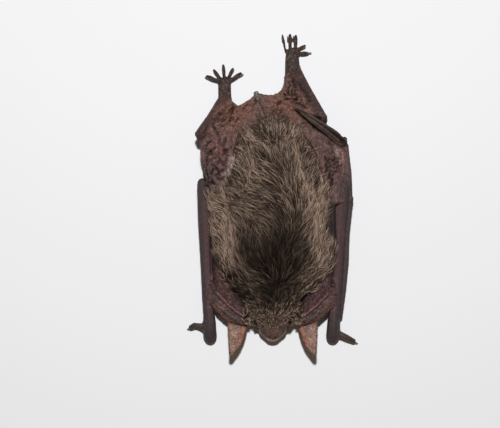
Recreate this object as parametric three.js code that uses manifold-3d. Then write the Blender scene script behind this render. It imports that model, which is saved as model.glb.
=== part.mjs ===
// A life-size long-eared bat at rest, lying on its belly with its wings folded along its sides. Its great
// ears are curled back under the forearms, and only the two ear spears point forward beside the muzzle.
// Millimetres, +Z up. The head points along -Y and the feet along +Y, so the animal's left side is at +X.
import * as THREE from "three";
import { mergeVertices } from "three/addons/utils/BufferGeometryUtils.js";
import Module from "manifold-3d";

const wasm = await Module();
wasm.setup();

// ---- driving dimensions ----
const forearmLength = 34.7; // elbow joint to wrist joint
const bodyWidth = 23.6; // across the ribs, out to the tips of the coat
const bodyDepth = 14.2; // floor to the shoulder blades, out to the tips of the coat
const headWidth = 11.4; // across the cheeks, with the coat
const headDepth = 9.6; // crown to throat
const shinWidth = 2.1;
const footWidth = 2.9;
const toeThickness = 0.85;
const clawThickness = 0.5; // at the root
const skinThickness = 1.05; // of a folded web of skin, which is several layers
const clearance = 0.3; // left between two pieces that touch

// ---- the pose: where each joint of the skeleton lies ----
const elbowAt = 2.6; // along the body
const wristAt = elbowAt - forearmLength;
const neckBase = [0, -20.4, 6.4];
const noseTip = [0, -33.2, 3.5];
const tailRoot = [-2.2, 16.4, 5.2];
const tailBend = [-3.7, 23.3, 1.4]; // where the tail turns back under the belly
const pose = {
  right: {
    sign: -1,
    shoulder: [-6.2, -19.5, 6.4],
    elbow: [-15.6, elbowAt, 5.0],
    wrist: [-14.5, wristAt, 2.2],
    thumbBend: [-17.4, -29.8, 2.6],
    thumbTip: [-19.0, -30.6, 1.3],
    fingers: [[0.6, -1.75], [-0.6, -1.75], [0, -2.8]], // places beside the forearm: outwards, up
    knuckle: [-15.6, 2.0, 2.8],
    knuckleShift: [[0, 0, 0], [1.15, -1.5, 0], [0.6, -3, -1.1]], // of each finger's joint, from the first's
    wingCorner: [-14.8, 10.2, 3.4],
    wingEnd: [-8.6, 14.0, 3.0],
    hip: [-6.6, 12.0, 6.2],
    knee: [-16.6, 13.4, 8.0],
    ankle: [-11.0, 22.6, 2.3],
    toeRoot: [-11.0, 26.5, 1.5],
    toeTurns: [68, 36, 5, -27, -56], // degrees from the way the foot points, inner toe last
    toeReach: [3.5, 3.1, 3.3, 3.1, 3.5],
    toeSpacing: 0.58,
    ankleWidth: 2.6,
  },
  left: {
    sign: 1,
    shoulder: [6.4, -19.5, 6.4],
    elbow: [15.6, elbowAt, 5.0],
    wrist: [14.0, wristAt, 2.2],
    thumbBend: [17.0, -32.7, 2.6],
    thumbTip: [18.9, -33.8, 1.3],
    fingers: [[1.97, -0.2], [1.45, -1.4], [0.3, -1.8]],
    knuckle: [18.0, -0.8, 3.9],
    knuckleShift: [[0, 0, 0], [-0.8, -1.5, -1.0], [-1.9, -3, -1.7]],
    wingCorner: [16.9, 11.9, 5.6],
    wingEnd: [5.2, 19.4, 9.0],
    hip: [5.6, 12.6, 6.2],
    knee: [11.2, 17.2, 8.0],
    ankle: [4.6, 28.4, 2.3],
    toeRoot: [4.5, 33.1, 1.5],
    toeTurns: [9, 2, -7, -58, -84],
    toeReach: [4.1, 3.8, 3.6, 2.6, 2.7],
    toeSpacing: 0.78,
    ankleWidth: 3.2,
  },
};

// ---- shape makers ----
const vector = (p) => new THREE.Vector3(...p);
const up = new THREE.Vector3(0, 0, 1);

// The value at `share` of the way along a smooth curve through evenly spaced values.
function along(values, share) {
  const last = values.length - 1;
  const curve = new THREE.SplineCurve(values.map((v, i) => new THREE.Vector2(i / last, v)));
  return curve.getPoint(share).y;
}

// A closed body with round ends, swept along a smooth line. `wide` and `tall` are its half sizes at even
// steps along the line, `square` makes its section boxier than an oval, and `ends` are the two end lengths.
function limb({ line, wide, tall, around = 8, steps = 6, rows = 2, square = 1, ends, twist = 0 }, grow = 0) {
  const spine = new THREE.CatmullRomCurve3(line.map(vector), false, "centripetal");
  const capsule = new THREE.CapsuleGeometry(1, steps, rows, around, steps);
  const place = capsule.getAttribute("position");
  const round = ends ?? [tall[0], tall[tall.length - 1]];
  for (let i = 0; i < place.count; i++) {
    const travel = place.getY(i) + steps / 2;
    const share = THREE.MathUtils.clamp(travel / steps, 0, 1);
    const past = travel - share * steps; // -1 to 0 in the first end, 0 to 1 in the last
    const tangent = spine.getTangentAt(share);
    const side = new THREE.Vector3().crossVectors(tangent, up).normalize();
    const rise = new THREE.Vector3().crossVectors(side, tangent).applyAxisAngle(tangent, twist);
    side.applyAxisAngle(tangent, twist);
    const turn = Math.atan2(place.getZ(i), place.getX(i));
    const radius = Math.hypot(place.getX(i), place.getZ(i));
    const boxy = (v) => Math.sign(v) * Math.abs(v) ** square;
    const length = past < 0 ? round[0] : round[1];
    const point = spine
      .getPointAt(share)
      .addScaledVector(tangent, past * (length + grow))
      .addScaledVector(side, boxy(Math.cos(turn)) * radius * (along(wide, share) + grow))
      .addScaledVector(rise, boxy(Math.sin(turn)) * radius * (along(tall, share) + grow));
    place.setXYZ(i, ...point);
  }
  return capsule;
}

// A closed sheet of skin stretched from one smooth edge to another. `swell` lifts its middle, and `folds`
// is a list of [waves along the edges, waves across, height] that crumple it.
function web({ from, to, thick = skinThickness, swell = 0, folds = [], columns = 10, rows = 4 }, grow = 0) {
  const edge = (points) => new THREE.CatmullRomCurve3(points.map(vector), false, "centripetal");
  const [near, far] = [edge(from), edge(to)];
  const middle = (u, v) => {
    const lift = folds.reduce(
      (sum, [a, b, height]) => sum + height * Math.sin(2 * Math.PI * (a * u + b * v)),
      swell * Math.sin(Math.PI * v),
    );
    return near.getPoint(u).lerp(far.getPoint(u), v).addScaledVector(up, lift);
  };
  const box = new THREE.BoxGeometry(1, 1, 1, columns, rows, 1);
  const place = box.getAttribute("position");
  for (let i = 0; i < place.count; i++) {
    const [x, y, z] = [place.getX(i), place.getY(i), place.getZ(i)];
    const [u, v] = [x + 0.5, y + 0.5];
    const small = 0.02;
    const alongU = middle(Math.min(u + small, 1), v).sub(middle(Math.max(u - small, 0), v)).normalize();
    const alongV = middle(u, Math.min(v + small, 1)).sub(middle(u, Math.max(v - small, 0))).normalize();
    const normal = new THREE.Vector3().crossVectors(alongU, alongV).normalize();
    const atRim = Math.abs(x) > 0.49 || Math.abs(y) > 0.49;
    const half = (atRim ? 0.6 : 1) * (thick / 2) + grow; // the rim is a little thinner
    const point = middle(u, v)
      .addScaledVector(alongU, Math.abs(x) > 0.49 ? Math.sign(x) * grow : 0)
      .addScaledVector(alongV, Math.abs(y) > 0.49 ? Math.sign(y) * grow : 0)
      .addScaledVector(normal, 2 * z * half);
    place.setXYZ(i, ...point);
  }
  return box;
}

// ---- solids: each piece is cut back from the pieces named before it, and flat where it meets the floor ----
function solidOf(shape) {
  if (Array.isArray(shape)) return shape.map(solidOf).reduce((joined, one) => joined.add(one));
  const bare = shape.clone();
  bare.deleteAttribute("normal");
  bare.deleteAttribute("uv");
  const merged = mergeVertices(bare, 1e-4);
  const mesh = new wasm.Mesh({
    numProp: 3,
    vertProperties: new Float32Array(merged.getAttribute("position").array),
    triVerts: new Uint32Array(merged.index.array),
  });
  const solid = new wasm.Manifold(mesh);
  if (solid.volume() > 0) return solid;
  mesh.triVerts = mesh.triVerts.map((_, i, all) => all[i - (i % 3) + [0, 2, 1][i % 3]]);
  return new wasm.Manifold(mesh);
}

const floorSlab = new THREE.BoxGeometry(120, 120, 10);
floorSlab.translate(0, 0, -5);
const floor = solidOf(floorSlab);

function largestOf(solid) {
  return solid.decompose().reduce((best, one) => (one.volume() > best.volume() ? one : best));
}

function geometryOf(solid) {
  const { vertProperties, triVerts } = solid.getMesh();
  const geometry = new THREE.BufferGeometry();
  geometry.setAttribute("position", new THREE.BufferAttribute(vertProperties, 3));
  geometry.setIndex(new THREE.BufferAttribute(triVerts, 1));
  geometry.computeVertexNormals();
  return geometry;
}

const bat = new THREE.Group();
const placed = []; // every piece so far, grown by the clearance
function add(name, material, make) {
  let solid = solidOf(make(0));
  for (const other of placed) solid = solid.subtract(other);
  solid = largestOf(solid.subtract(floor));
  const mesh = new THREE.Mesh(geometryOf(solid), material);
  mesh.name = name;
  bat.add(mesh);
  placed.push(solidOf(make(clearance)));
}

// ---- materials ----
const finish = (color, roughness) => new THREE.MeshStandardMaterial({ color, roughness, metalness: 0 });
const fur = finish("#5a4a3d", 0.95);
const skin = finish("#4a3e3c", 0.6);
const spear = finish("#86695b", 0.65);
const horn = finish("#cdb79b", 0.35);
const eyeGloss = finish("#0b0908", 0.08);

// ---- head ----
add("nose", skin, (grow) =>
  limb({
    line: [[0, -32.1, 3.8], noseTip],
    wide: [1.15, 1.05],
    tall: [0.9, 0.75],
    around: 8, steps: 1, ends: [0.4, 0.5],
  }, grow));

for (const [side, { sign }] of Object.entries(pose)) {
  add(`${side}_eye`, eyeGloss, (grow) => {
    const ball = new THREE.SphereGeometry(0.9 + grow, 8, 6);
    ball.translate(sign * 3.45, -29.4, 5.1);
    return ball;
  });
  const out = (x, y, z) => [sign * x, y, z];
  add(`${side}_tragus`, spear, (grow) =>
    limb({
      line: [out(7.9, -28.2, 4.7), out(8.2, -31.2, 5.4), out(8.75, -34.0, 6.8), out(9.6, -36.3, 8.1)],
      wide: [2.35, 2.2, 1.55, 0.5],
      tall: [0.45, 0.36, 0.32, 0.3],
      around: 8, steps: 6, rows: 1, ends: [0.4, 0.35], twist: sign * 0.12,
    }, grow));
}

add("muzzle", fur, (grow) =>
  limb({
    line: [[0, -28.8, 4.8], [0, -30.8, 4.2], noseTip],
    wide: [4.1, 3.3, 1.25],
    tall: [2.5, 1.9, 1.0],
    around: 12, steps: 3, rows: 1, square: 0.9, ends: [1.2, 0.35],
  }, grow));

add("lower_jaw", skin, (grow) =>
  limb({
    line: [[0, -26.8, 1.4], [0, -29.6, 1.3], [0, -32.3, 2.0]],
    wide: [3.3, 2.5, 1.1],
    tall: [1.7, 1.2, 0.6],
    around: 10, steps: 3, rows: 1, ends: [1.0, 0.5],
  }, grow));

add("head", fur, (grow) =>
  limb({
    line: [[0, -22.9, 6.1], [0, -25.3, 5.7], [0, -27.6, 5.0], [0, -29.4, 4.7]],
    wide: [0.86, 1, 0.95, 0.7].map((share) => (share * headWidth) / 2),
    tall: [1.08, 1.06, 0.86, 0.52].map((share) => (share * headDepth) / 2),
    around: 12, steps: 4, square: 0.92, ends: [1.2, 1.2],
  }, grow));

// ---- arms and hands ----
const between = (a, b, share, lift = [0, 0, 0]) => a.map((v, i) => v + (b[i] - v) * share + lift[i]);

function forearmAndHand(side, at) {
  const { sign, elbow, wrist, thumbBend, thumbTip } = at;
  const { fingers, knuckle, knuckleShift, wingCorner, wingEnd } = at;
  const onForearm = (share) => between(elbow, wrist, share, [sign * 0.35 * Math.sin(Math.PI * share), 0, 0]);

  const clawRoot = between(thumbTip, thumbBend, -0.06);
  add(`${side}_thumb_claw`, horn, (grow) =>
    limb({
      line: [
        clawRoot,
        between(clawRoot, thumbBend, -0.3, [0, 0, -0.4]),
        between(clawRoot, thumbBend, -0.42, [0, 0, -1.25]),
      ],
      wide: [0.55, 0.45, 0.25].map((share) => share * clawThickness),
      tall: [0.6, 0.5, 0.25].map((share) => share * clawThickness),
      around: 6, steps: 2, rows: 1, ends: [0.15, 0.15],
    }, grow * 0.6));
  add(`${side}_thumb`, skin, (grow) =>
    limb({
      line: [between(wrist, thumbBend, 0.25, [0, 0.6, 0]), thumbBend, thumbTip],
      wide: [0.7, 0.6, 0.55],
      tall: [0.7, 0.6, 0.5],
      around: 6, steps: 3, rows: 1,
    }, grow));
  add(`${side}_wrist`, skin, (grow) =>
    limb({
      line: [0.13, 0.05, -0.018].map((share, i) => between(wrist, elbow, share, [0, 0, -0.1 * i])),
      wide: [1.3, 1.55, 1.45],
      tall: [1.3, 1.9, 1.9],
      around: 8, steps: 3, square: 0.85, ends: [0.6, 0.7],
    }, grow));
  add(`${side}_forearm`, skin, (grow) =>
    limb({
      line: [0, 0.1, 0.35, 0.65, 0.86].map(onForearm),
      wide: [1.75, 1.6, 1.3, 1.2, 1.25],
      tall: [1.5, 1.45, 1.1, 1.0, 1.1],
      around: 8, steps: 6, rows: 1, ends: [1.3, 0.5],
    }, grow));

  // three long fingers lie together beside or below the forearm and carry on past the elbow, each a
  // little shorter than the one before, to the folded tip of the wing
  ["third", "fourth", "fifth"].forEach((finger, rank) => {
    const [outwards, upwards] = fingers[rank];
    const beside = (share) => {
      const [x, y, z] = onForearm(share);
      const drawnIn = share > 0.8 ? 0.68 : 1; // the bundle narrows at the wrist
      return [x + sign * outwards * drawnIn, y, Math.max(z + upwards, 0.45)];
    };
    const shift = knuckleShift[rank];
    const reach = between(knuckle, wingCorner, 0.96 - 0.22 * rank);
    add(`${side}_${finger}_finger`, skin, (grow) =>
      limb({
        line: [
          beside(0.89), beside(0.55), beside(0.2),
          knuckle.map((v, i) => v + shift[i]),
          [reach[0] + shift[0], reach[1], reach[2] + shift[2] * 0.8],
        ],
        wide: [0.45, 0.42, 0.42, 0.55, 0.42],
        tall: [0.42, 0.42, 0.42, 0.5, 0.42],
        around: 6, steps: 6, rows: 1, ends: [0.3, 0.3],
      }, grow * 0.8));
  });

  add(`${side}_wing_tip`, skin, (grow) =>
    limb({
      line: [
        wingCorner,
        between(wingCorner, wingEnd, 0.35, [0, 0.1, 0.9]),
        between(wingCorner, wingEnd, 0.7, [0, 0.1, 1.0]),
        wingEnd,
      ],
      wide: [0.8, 1.3, 1.4, 0.7],
      tall: [0.8, 0.85, 0.75, 0.6],
      around: 8, steps: 5, rows: 1, ends: [0.6, 0.8], twist: sign * -0.3,
    }, grow));
}

// ---- feet and shins ----
function footAndShin(side, at) {
  const { knee, ankle, toeRoot, toeTurns, toeReach, toeSpacing, ankleWidth } = at;
  const forward = vector(toeRoot).sub(vector(ankle)).setZ(0).normalize();
  const across = new THREE.Vector3(-forward.y, forward.x, 0);
  const toes = toeTurns.map((turn, i) => {
    const heading = forward.clone().applyAxisAngle(up, THREE.MathUtils.degToRad(turn));
    const root = vector(toeRoot)
      .addScaledVector(across, (2 - i) * toeSpacing)
      .addScaledVector(forward, -0.25 * Math.abs(i - 2));
    return (share, z) => [...root.clone().addScaledVector(heading, toeReach[i] * share).setZ(z)];
  });

  toes.forEach((point, i) => {
    add(`${side}_claw_${i + 1}`, horn, (grow) =>
      limb({
        line: [point(0.86, 1.0), point(1.0, 0.7), point(1.06, 0.05)],
        wide: [0.5, 0.42, 0.22].map((share) => share * clawThickness),
        tall: [0.62, 0.5, 0.26].map((share) => share * clawThickness),
        around: 5, steps: 2, rows: 1, ends: [0.15, 0.12],
      }, grow * 0.6));
  });

  add(`${side}_foot`, skin, (grow) => {
    const sole = limb({
      line: [ankle, between(ankle, toeRoot, 0.5, [0, 0, -0.2]), toeRoot],
      wide: [ankleWidth, ankleWidth * 0.96, footWidth].map((width) => width / 2),
      tall: [1.25, 1.2, 0.8],
      around: 8, steps: 2, rows: 1, square: 0.92, ends: [0.6, 0.5],
    }, grow);
    const digits = toes.map((point) => limb({
      line: [point(-0.12, 1.35), point(0.3, 1.75), point(0.7, 1.45), point(0.9, 1.0)],
      wide: [0.55, 0.5, 0.55, 0.42].map((share) => share * toeThickness),
      tall: [0.55, 0.5, 0.55, 0.42].map((share) => share * toeThickness),
      around: 5, steps: 2, rows: 1, ends: [0.2, 0.25],
    }, grow));
    return [sole, ...digits];
  });

  add(`${side}_shin`, skin, (grow) =>
    limb({
      line: [ankle, between(ankle, knee, 0.5, [0, 0, 0.3]), knee],
      wide: [0.62, 0.52, 0.66].map((share) => share * shinWidth),
      tall: [0.6, 0.5, 0.66].map((share) => share * shinWidth),
      around: 8, steps: 4, rows: 1, ends: [0.6, 1.1],
    }, grow));
}

for (const [side, at] of Object.entries(pose)) {
  forearmAndHand(side, at);
  footAndShin(side, at);
}

// ---- trunk, neck and the furred upper limbs ----
add("trunk", fur, (grow) =>
  limb({
    line: [
      neckBase, [0, -15.5, 6.9], [0, -9.5, 6.9], [0.1, -3.0, 6.7],
      [0.2, 3.6, 6.2], [-0.2, 10.2, 5.4], [-1.1, 16.2, 4.6],
    ],
    wide: [0.74, 0.93, 1, 1, 0.96, 0.84, 0.6].map((share) => (share * bodyWidth) / 2),
    tall: [0.92, 1.02, 1.03, 1, 0.93, 0.8, 0.55].map((share) => (share * bodyDepth) / 2),
    around: 16, steps: 11, square: 0.86, ends: [3.2, 3.0],
  }, grow));

add("neck", fur, (grow) =>
  limb({
    line: [[0, -26.0, 5.6], [0, -22.8, 6.1], [0, -19.4, 6.6]],
    wide: [5.9, 7.6, 9.4],
    tall: [5.3, 6.0, 6.4],
    around: 12, steps: 3, rows: 1, square: 0.88, ends: [1.5, 1.5],
  }, grow));

for (const [side, { sign, shoulder, elbow }] of Object.entries(pose)) {
  add(`${side}_upper_arm`, fur, (grow) =>
    limb({
      line: [
        shoulder,
        between(shoulder, elbow, 0.3, [sign * 1.1, 0, -0.3]),
        between(shoulder, elbow, 0.62, [sign * -0.7, 0, 0]),
        between(shoulder, elbow, 0.9, [sign * -1.7, 0, 0.3]),
      ],
      wide: [3.6, 3.9, 3.0, 1.7],
      tall: [5.2, 5.4, 4.4, 2.5],
      around: 10, steps: 6, square: 0.9, ends: [2.0, 1.6],
    }, grow));
}

// ---- webs of skin ----
add("tail_web", skin, (grow) =>
  web({
    from: [
      [-15.2, 14.4, 8.0], [-11.0, 12.8, 8.6], [-6.6, 14.6, 7.6], [-2.2, 15.6, 7.2],
      [2.0, 15.6, 7.4], [5.4, 16.0, 8.2], [9.2, 18.4, 8.2], [8.2, 21.4, 6.0],
    ],
    to: [
      [-10.4, 22.4, 2.6], [-8.0, 20.4, 2.6], [-5.4, 21.6, 2.1], [-3.6, 23.2, 2.0],
      [-1.2, 22.8, 1.9], [1.2, 23.2, 2.0], [2.7, 24.8, 2.4], [3.4, 27.0, 2.6],
    ],
    swell: 0.6, folds: [[5, 0, 0.22]], columns: 14, rows: 3,
  }, grow));

add("right_side_web", skin, (grow) =>
  web({
    from: [[-8.0, 14.4, 8.9], [-9.2, 9.6, 9.8], [-10.2, 4.4, 9.4], [-11.2, -0.4, 8.2], [-12.2, -3.4, 6.6]],
    to: [[-16.2, 12.4, 7.4], [-15.9, 8.6, 5.6], [-15.2, 5.2, 5.8], [-14.0, 2.6, 7.1], [-13.6, -1.4, 6.4]],
    thick: 1.4 * skinThickness, swell: 0.9, folds: [[2.5, 0.5, 0.3]], columns: 8, rows: 4,
  }, grow));

add("left_side_web", skin, (grow) =>
  web({
    from: [[6.0, 15.2, 7.8], [9.6, 10.6, 8.8], [11.2, 4.6, 8.8], [12.2, -2.0, 7.6]],
    to: [[13.6, 14.2, 6.4], [16.6, 9.0, 5.4], [16.8, 3.8, 5.6], [15.6, -1.6, 6.2]],
    thick: 1.4 * skinThickness, swell: 0.7, folds: [[0.5, 2, 0.25]], columns: 7, rows: 4,
  }, grow));

for (const [side, { sign }] of Object.entries(pose)) {
  const out = (x, y, z) => [sign * x, y, z];
  add(`${side}_ear`, skin, (grow) =>
    limb({
      line: [
        out(5.6, -28.7, 6.5), out(8.4, -28.0, 6.1), out(11.3, -26.0, 5.1),
        out(13.3, -23.0, 4.0), out(13.9, -17.6, 2.9),
      ],
      wide: [1.1, 1.75, 1.9, 1.7, 1.1],
      tall: [0.8, 1.15, 1.35, 1.2, 0.9],
      around: 8, steps: 7, rows: 1, ends: [0.7, 0.8], twist: sign * 0.35,
    }, grow));
  add(`${side}_shoulder_web`, skin, (grow) =>
    web({
      from: [out(5.2, -27.0, 8.0), out(8.6, -23.2, 8.0), out(11.0, -18.6, 6.8), out(12.4, -12.0, 4.8)],
      to: [out(6.6, -28.2, 7.0), out(10.2, -25.6, 6.4), out(12.9, -21.6, 5.0), out(13.6, -12.0, 3.8)],
      swell: 0.2, columns: 6, rows: 2,
    }, grow));
}

for (const [side, { sign, hip, knee }] of Object.entries(pose)) {
  add(`${side}_thigh`, fur, (grow) =>
    limb({
      line: [hip, between(hip, knee, 0.5, [0, 0, -0.6]), between(hip, knee, 0.94, [sign * -0.5, 0, -0.9])],
      wide: [3.0, 2.6, 1.5],
      tall: [2.6, 2.1, 1.2],
      around: 8, steps: 3, rows: 1, ends: [1.5, 0.8],
    }, grow));
}

// ---- tail, under the tail web, with its tip turned back beneath the rump ----
add("tail", skin, (grow) =>
  limb({
    line: [tailRoot, [-2.8, 19.8, 3.6], tailBend, [-3.2, 21.2, 0.9], [-2.4, 18.0, 0.7]],
    wide: [1.0, 0.8, 0.65, 0.55, 0.45],
    tall: [1.0, 0.75, 0.6, 0.55, 0.45],
    around: 6, steps: 7, rows: 1, ends: [0.5, 0.5],
  }, grow));

export default bat;
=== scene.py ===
import math
from functools import partial

import bmesh
import bpy
import numpy as np
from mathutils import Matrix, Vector, kdtree, noise
from mathutils.bvhtree import BVHTree


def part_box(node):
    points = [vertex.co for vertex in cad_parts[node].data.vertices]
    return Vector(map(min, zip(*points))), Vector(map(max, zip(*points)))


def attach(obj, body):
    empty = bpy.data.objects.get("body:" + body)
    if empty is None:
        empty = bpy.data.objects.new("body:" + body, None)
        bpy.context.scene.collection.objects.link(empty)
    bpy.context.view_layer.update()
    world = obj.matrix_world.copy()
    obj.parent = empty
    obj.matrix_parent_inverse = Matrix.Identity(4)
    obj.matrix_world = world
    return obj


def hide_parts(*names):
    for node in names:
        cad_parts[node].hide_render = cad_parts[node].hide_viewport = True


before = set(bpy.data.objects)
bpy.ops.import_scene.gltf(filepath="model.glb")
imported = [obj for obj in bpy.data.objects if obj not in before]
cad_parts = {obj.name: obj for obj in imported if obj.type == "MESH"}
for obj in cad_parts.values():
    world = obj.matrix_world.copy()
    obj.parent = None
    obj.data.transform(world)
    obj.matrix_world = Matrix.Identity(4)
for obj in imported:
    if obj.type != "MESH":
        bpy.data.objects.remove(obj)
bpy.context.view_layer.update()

metre = 0.001  # everything is modelled in millimetres and brought to metres at the end
sides = {"right": -1, "left": 1}  # the animal's own sides, and where they lie along X


# small helpers

def colour(hexText):
    channels = [int(hexText[i:i + 2], 16) / 255 for i in (1, 3, 5)]
    return [c / 12.92 if c < 0.04045 else ((c + 0.055) / 1.055) ** 2.4 for c in channels] + [1.0]


def addNode(tree, kind, inputs=None, **settings):  # a node or socket among the inputs is linked, else set
    made = tree.nodes.new(kind)
    for name, value in settings.items():
        setattr(made, name, value)
    for name, value in (inputs or {}).items():
        if isinstance(value, bpy.types.Node):
            value = next(socket for socket in value.outputs if socket.enabled)
        if isinstance(value, bpy.types.NodeSocket):
            tree.links.new(value, made.inputs[name])
        else:
            made.inputs[name].default_value = value
    return made


def ease(low, high, value):  # 0 below low, 1 above high, smooth between
    share = np.clip((value - low) / (high - low), 0, 1)
    return share * share * (3 - 2 * share)


def smoothLine(points, count):  # a curve through the points, at even steps
    points = np.array(points, float)
    travel = np.linspace(0, len(points) - 1, count)
    start = np.clip(travel.astype(int), 0, len(points) - 2)
    share = (travel - start)[:, None]
    before, here = points[np.maximum(start - 1, 0)], points[start]
    ahead, after = points[start + 1], points[np.minimum(start + 2, len(points) - 1)]
    return 0.5 * (2 * here + (ahead - before) * share
                  + (2 * before - 5 * here + 4 * ahead - after) * share ** 2
                  + (3 * here - before - 3 * ahead + after) * share ** 3)


def addRod(mesh, points, widths, heights=None, ringCount=14, sideCount=10):  # a closed tube along a curve
    line = smoothLine(points, ringCount)
    wide = smoothLine(np.array(widths, float)[:, None], ringCount)[:, 0]
    tall = smoothLine(np.array(heights or widths, float)[:, None], ringCount)[:, 0]
    tangent = np.gradient(line, axis=0)
    tangent /= np.linalg.norm(tangent, axis=1)[:, None]
    across = np.cross(tangent, (0, 0, 1))
    across /= np.linalg.norm(across, axis=1)[:, None]
    rise = np.cross(across, tangent)
    turns = np.linspace(0, 2 * math.pi, sideCount, endpoint=False)
    rings = []
    for i in range(ringCount):
        ring = (line[i] + np.outer(np.cos(turns), across[i]) * wide[i]
                + np.outer(np.sin(turns), rise[i]) * tall[i])
        rings.append([mesh.verts.new(p) for p in ring])
    ends = [mesh.verts.new(line[0] - tangent[0] * tall[0] * 0.7),
            mesh.verts.new(line[-1] + tangent[-1] * tall[-1] * 0.7)]
    for i in range(sideCount):
        j = (i + 1) % sideCount
        mesh.faces.new([ends[0], rings[0][i], rings[0][j]])
        mesh.faces.new([ends[1], rings[-1][j], rings[-1][i]])
        for near, far in zip(rings, rings[1:]):
            mesh.faces.new([near[i], far[i], far[j], near[j]])


def addBall(mesh, centre, radii):
    made = bmesh.ops.create_icosphere(mesh, subdivisions=2, radius=1)["verts"]
    for vert in made:
        vert.co = Vector(centre) + Vector(a * b for a, b in zip(vert.co, radii))


def mirrored(points, sign):
    return [(sign * x, y, z) for x, y, z in points]


def toObject(mesh, name):
    data = bpy.data.meshes.new(name)
    bmesh.ops.recalc_face_normals(mesh, faces=mesh.faces)
    mesh.to_mesh(data)
    mesh.free()
    piece = bpy.data.objects.new(name, data)
    bpy.context.scene.collection.objects.link(piece)
    return piece


def evaluated(piece):  # the piece with its modifiers worked in
    graph = bpy.context.evaluated_depsgraph_get()
    data = bpy.data.meshes.new_from_object(piece.evaluated_get(graph), depsgraph=graph)
    piece.modifiers.clear()
    piece.data = data
    return piece


def finishPiece(piece, nodes=(), material=None):
    piece.data.transform(((metre, 0, 0, 0), (0, metre, 0, 0), (0, 0, metre, 0), (0, 0, 0, 1)))
    piece.data.update()
    if material:
        piece.data.materials.clear()
        piece.data.materials.append(material)
    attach(piece, "root")
    if nodes:
        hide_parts(*nodes)
    print(piece.name, len(piece.data.loops) - 2 * len(piece.data.polygons), "triangles")


# camera, light and floor

stage = {
    "aim": (-5.2, -4.3), "cameraHeight": 450, "viewWidth": 116,
    "flashAhead": 118, "flashSize": 26, "flashPower": 2.02,
    "fill": 0.094, "fillColour": (1.0, 0.78, 0.6), "floor": "#f0f2f5", "floorSize": 2400,
}


def setStage():
    scene = bpy.context.scene
    scene.view_settings.view_transform = "Standard"
    aimX, aimY = (v * metre for v in stage["aim"])
    height = stage["cameraHeight"] * metre

    camera = bpy.data.objects.new("camera", bpy.data.cameras.new("camera"))
    camera.data.sensor_width = 36
    camera.data.lens = 36 * stage["cameraHeight"] / stage["viewWidth"]
    camera.location = (aimX, aimY, height)  # straight above, looking down
    scene.collection.objects.link(camera)
    scene.camera = camera

    flash = bpy.data.objects.new("flash", bpy.data.lights.new("flash", "AREA"))
    flash.data.shape = "DISK"
    flash.data.size = stage["flashSize"] * metre
    flash.data.energy = stage["flashPower"]
    flash.location = (aimX, aimY + stage["flashAhead"] * metre, height)
    flash.rotation_euler = (-math.atan(stage["flashAhead"] / stage["cameraHeight"]), 0, 0)
    scene.collection.objects.link(flash)

    world = bpy.data.worlds.new("studio")
    scene.world = world
    world.use_nodes = True
    world.node_tree.nodes["Background"].inputs["Color"].default_value = (*stage["fillColour"], 1)
    world.node_tree.nodes["Background"].inputs["Strength"].default_value = stage["fill"]

    half = stage["floorSize"] / 2
    mesh = bmesh.new()
    corners = [(-half, -half), (half, -half), (half, half), (-half, half)]
    mesh.faces.new([mesh.verts.new((x, y, -0.02)) for x, y in corners])
    floor = toObject(mesh, "floor")
    floor.data.transform(((metre, 0, 0, 0), (0, metre, 0, 0), (0, 0, metre, 0), (0, 0, 0, 1)))
    paint = bpy.data.materials.new("mattWhitePaint")
    paint.use_nodes = True
    shader = paint.node_tree.nodes["Principled BSDF"]
    shader.inputs["Base Color"].default_value = colour(stage["floor"])
    shader.inputs["Roughness"].default_value = 0.9
    floor.data.materials.append(paint)


# what each part of the body is like

# tint: the skin's colour, coat: depth of the fur over it and crumple: height of its folds, both in mm,
# mottle: how blotchy the skin is
bodyParts = {
    "trunk": {"tint": "#2c211c", "coat": 2.85},
    "neck": {"tint": "#2c211c", "coat": 1.5},
    "head": {"tint": "#3a2d25", "coat": 0.9},
    "muzzle": {"tint": "#695349", "coat": 0.3, "crumple": 0.03, "mottle": 0.5},
    "nose": {"tint": "#4a3a36", "crumple": 0.03},
    "lower_jaw": {"tint": "#5a4840", "coat": 0.2, "crumple": 0.03},
    "upper_arm": {"tint": "#332721", "coat": 1.5},
    "thigh": {"tint": "#4a3833", "coat": 0.2, "crumple": 0.26, "mottle": 0.8},
    "side_web": {"tint": "#584341", "coat": 0.3, "crumple": 0.34, "mottle": 0.8},
    "tail_web": {"tint": "#59423c", "coat": 0.3, "crumple": 0.3, "mottle": 1.0},
    "tail": {"tint": "#5d4d48", "crumple": 0.05, "mottle": 0.3},
    "shoulder_web": {"tint": "#3f2a2a", "crumple": 0.2, "mottle": 0.9},
    "ear": {"tint": "#3a2f2e", "crumple": 0.09, "mottle": 1.0},
    "tragus": {"tint": "#7d6155", "mottle": 1.0},
    "forearm": {"tint": "#4b3a3b", "crumple": 0.015, "mottle": 0.2},
    "wrist": {"tint": "#3b3232", "crumple": 0.02, "mottle": 0.2},
    "thumb": {"tint": "#392f28", "crumple": 0.03, "mottle": 0.3},
    "third_finger": {"tint": "#4a3b3a", "crumple": 0.02, "mottle": 0.2},
    "fourth_finger": {"tint": "#483736", "crumple": 0.02, "mottle": 0.2},
    "fifth_finger": {"tint": "#483638", "crumple": 0.02, "mottle": 0.2},
    "wing_tip": {"tint": "#0e0908", "crumple": 0.04, "mottle": 0.1},
    "shin": {"tint": "#372826", "crumple": 0.07, "mottle": 0.5},
    "foot": {"tint": "#2f2623", "crumple": 0.06, "mottle": 0.8},
}
bare = {"coat": 0.0, "crumple": 0.0, "mottle": 0.0}
bodyParts = {name: {**bare, **part} for name, part in bodyParts.items()}


def partOf(node):
    return node.replace("left_", "").replace("right_", "")


fleshNodes = [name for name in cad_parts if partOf(name) in bodyParts]

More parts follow.
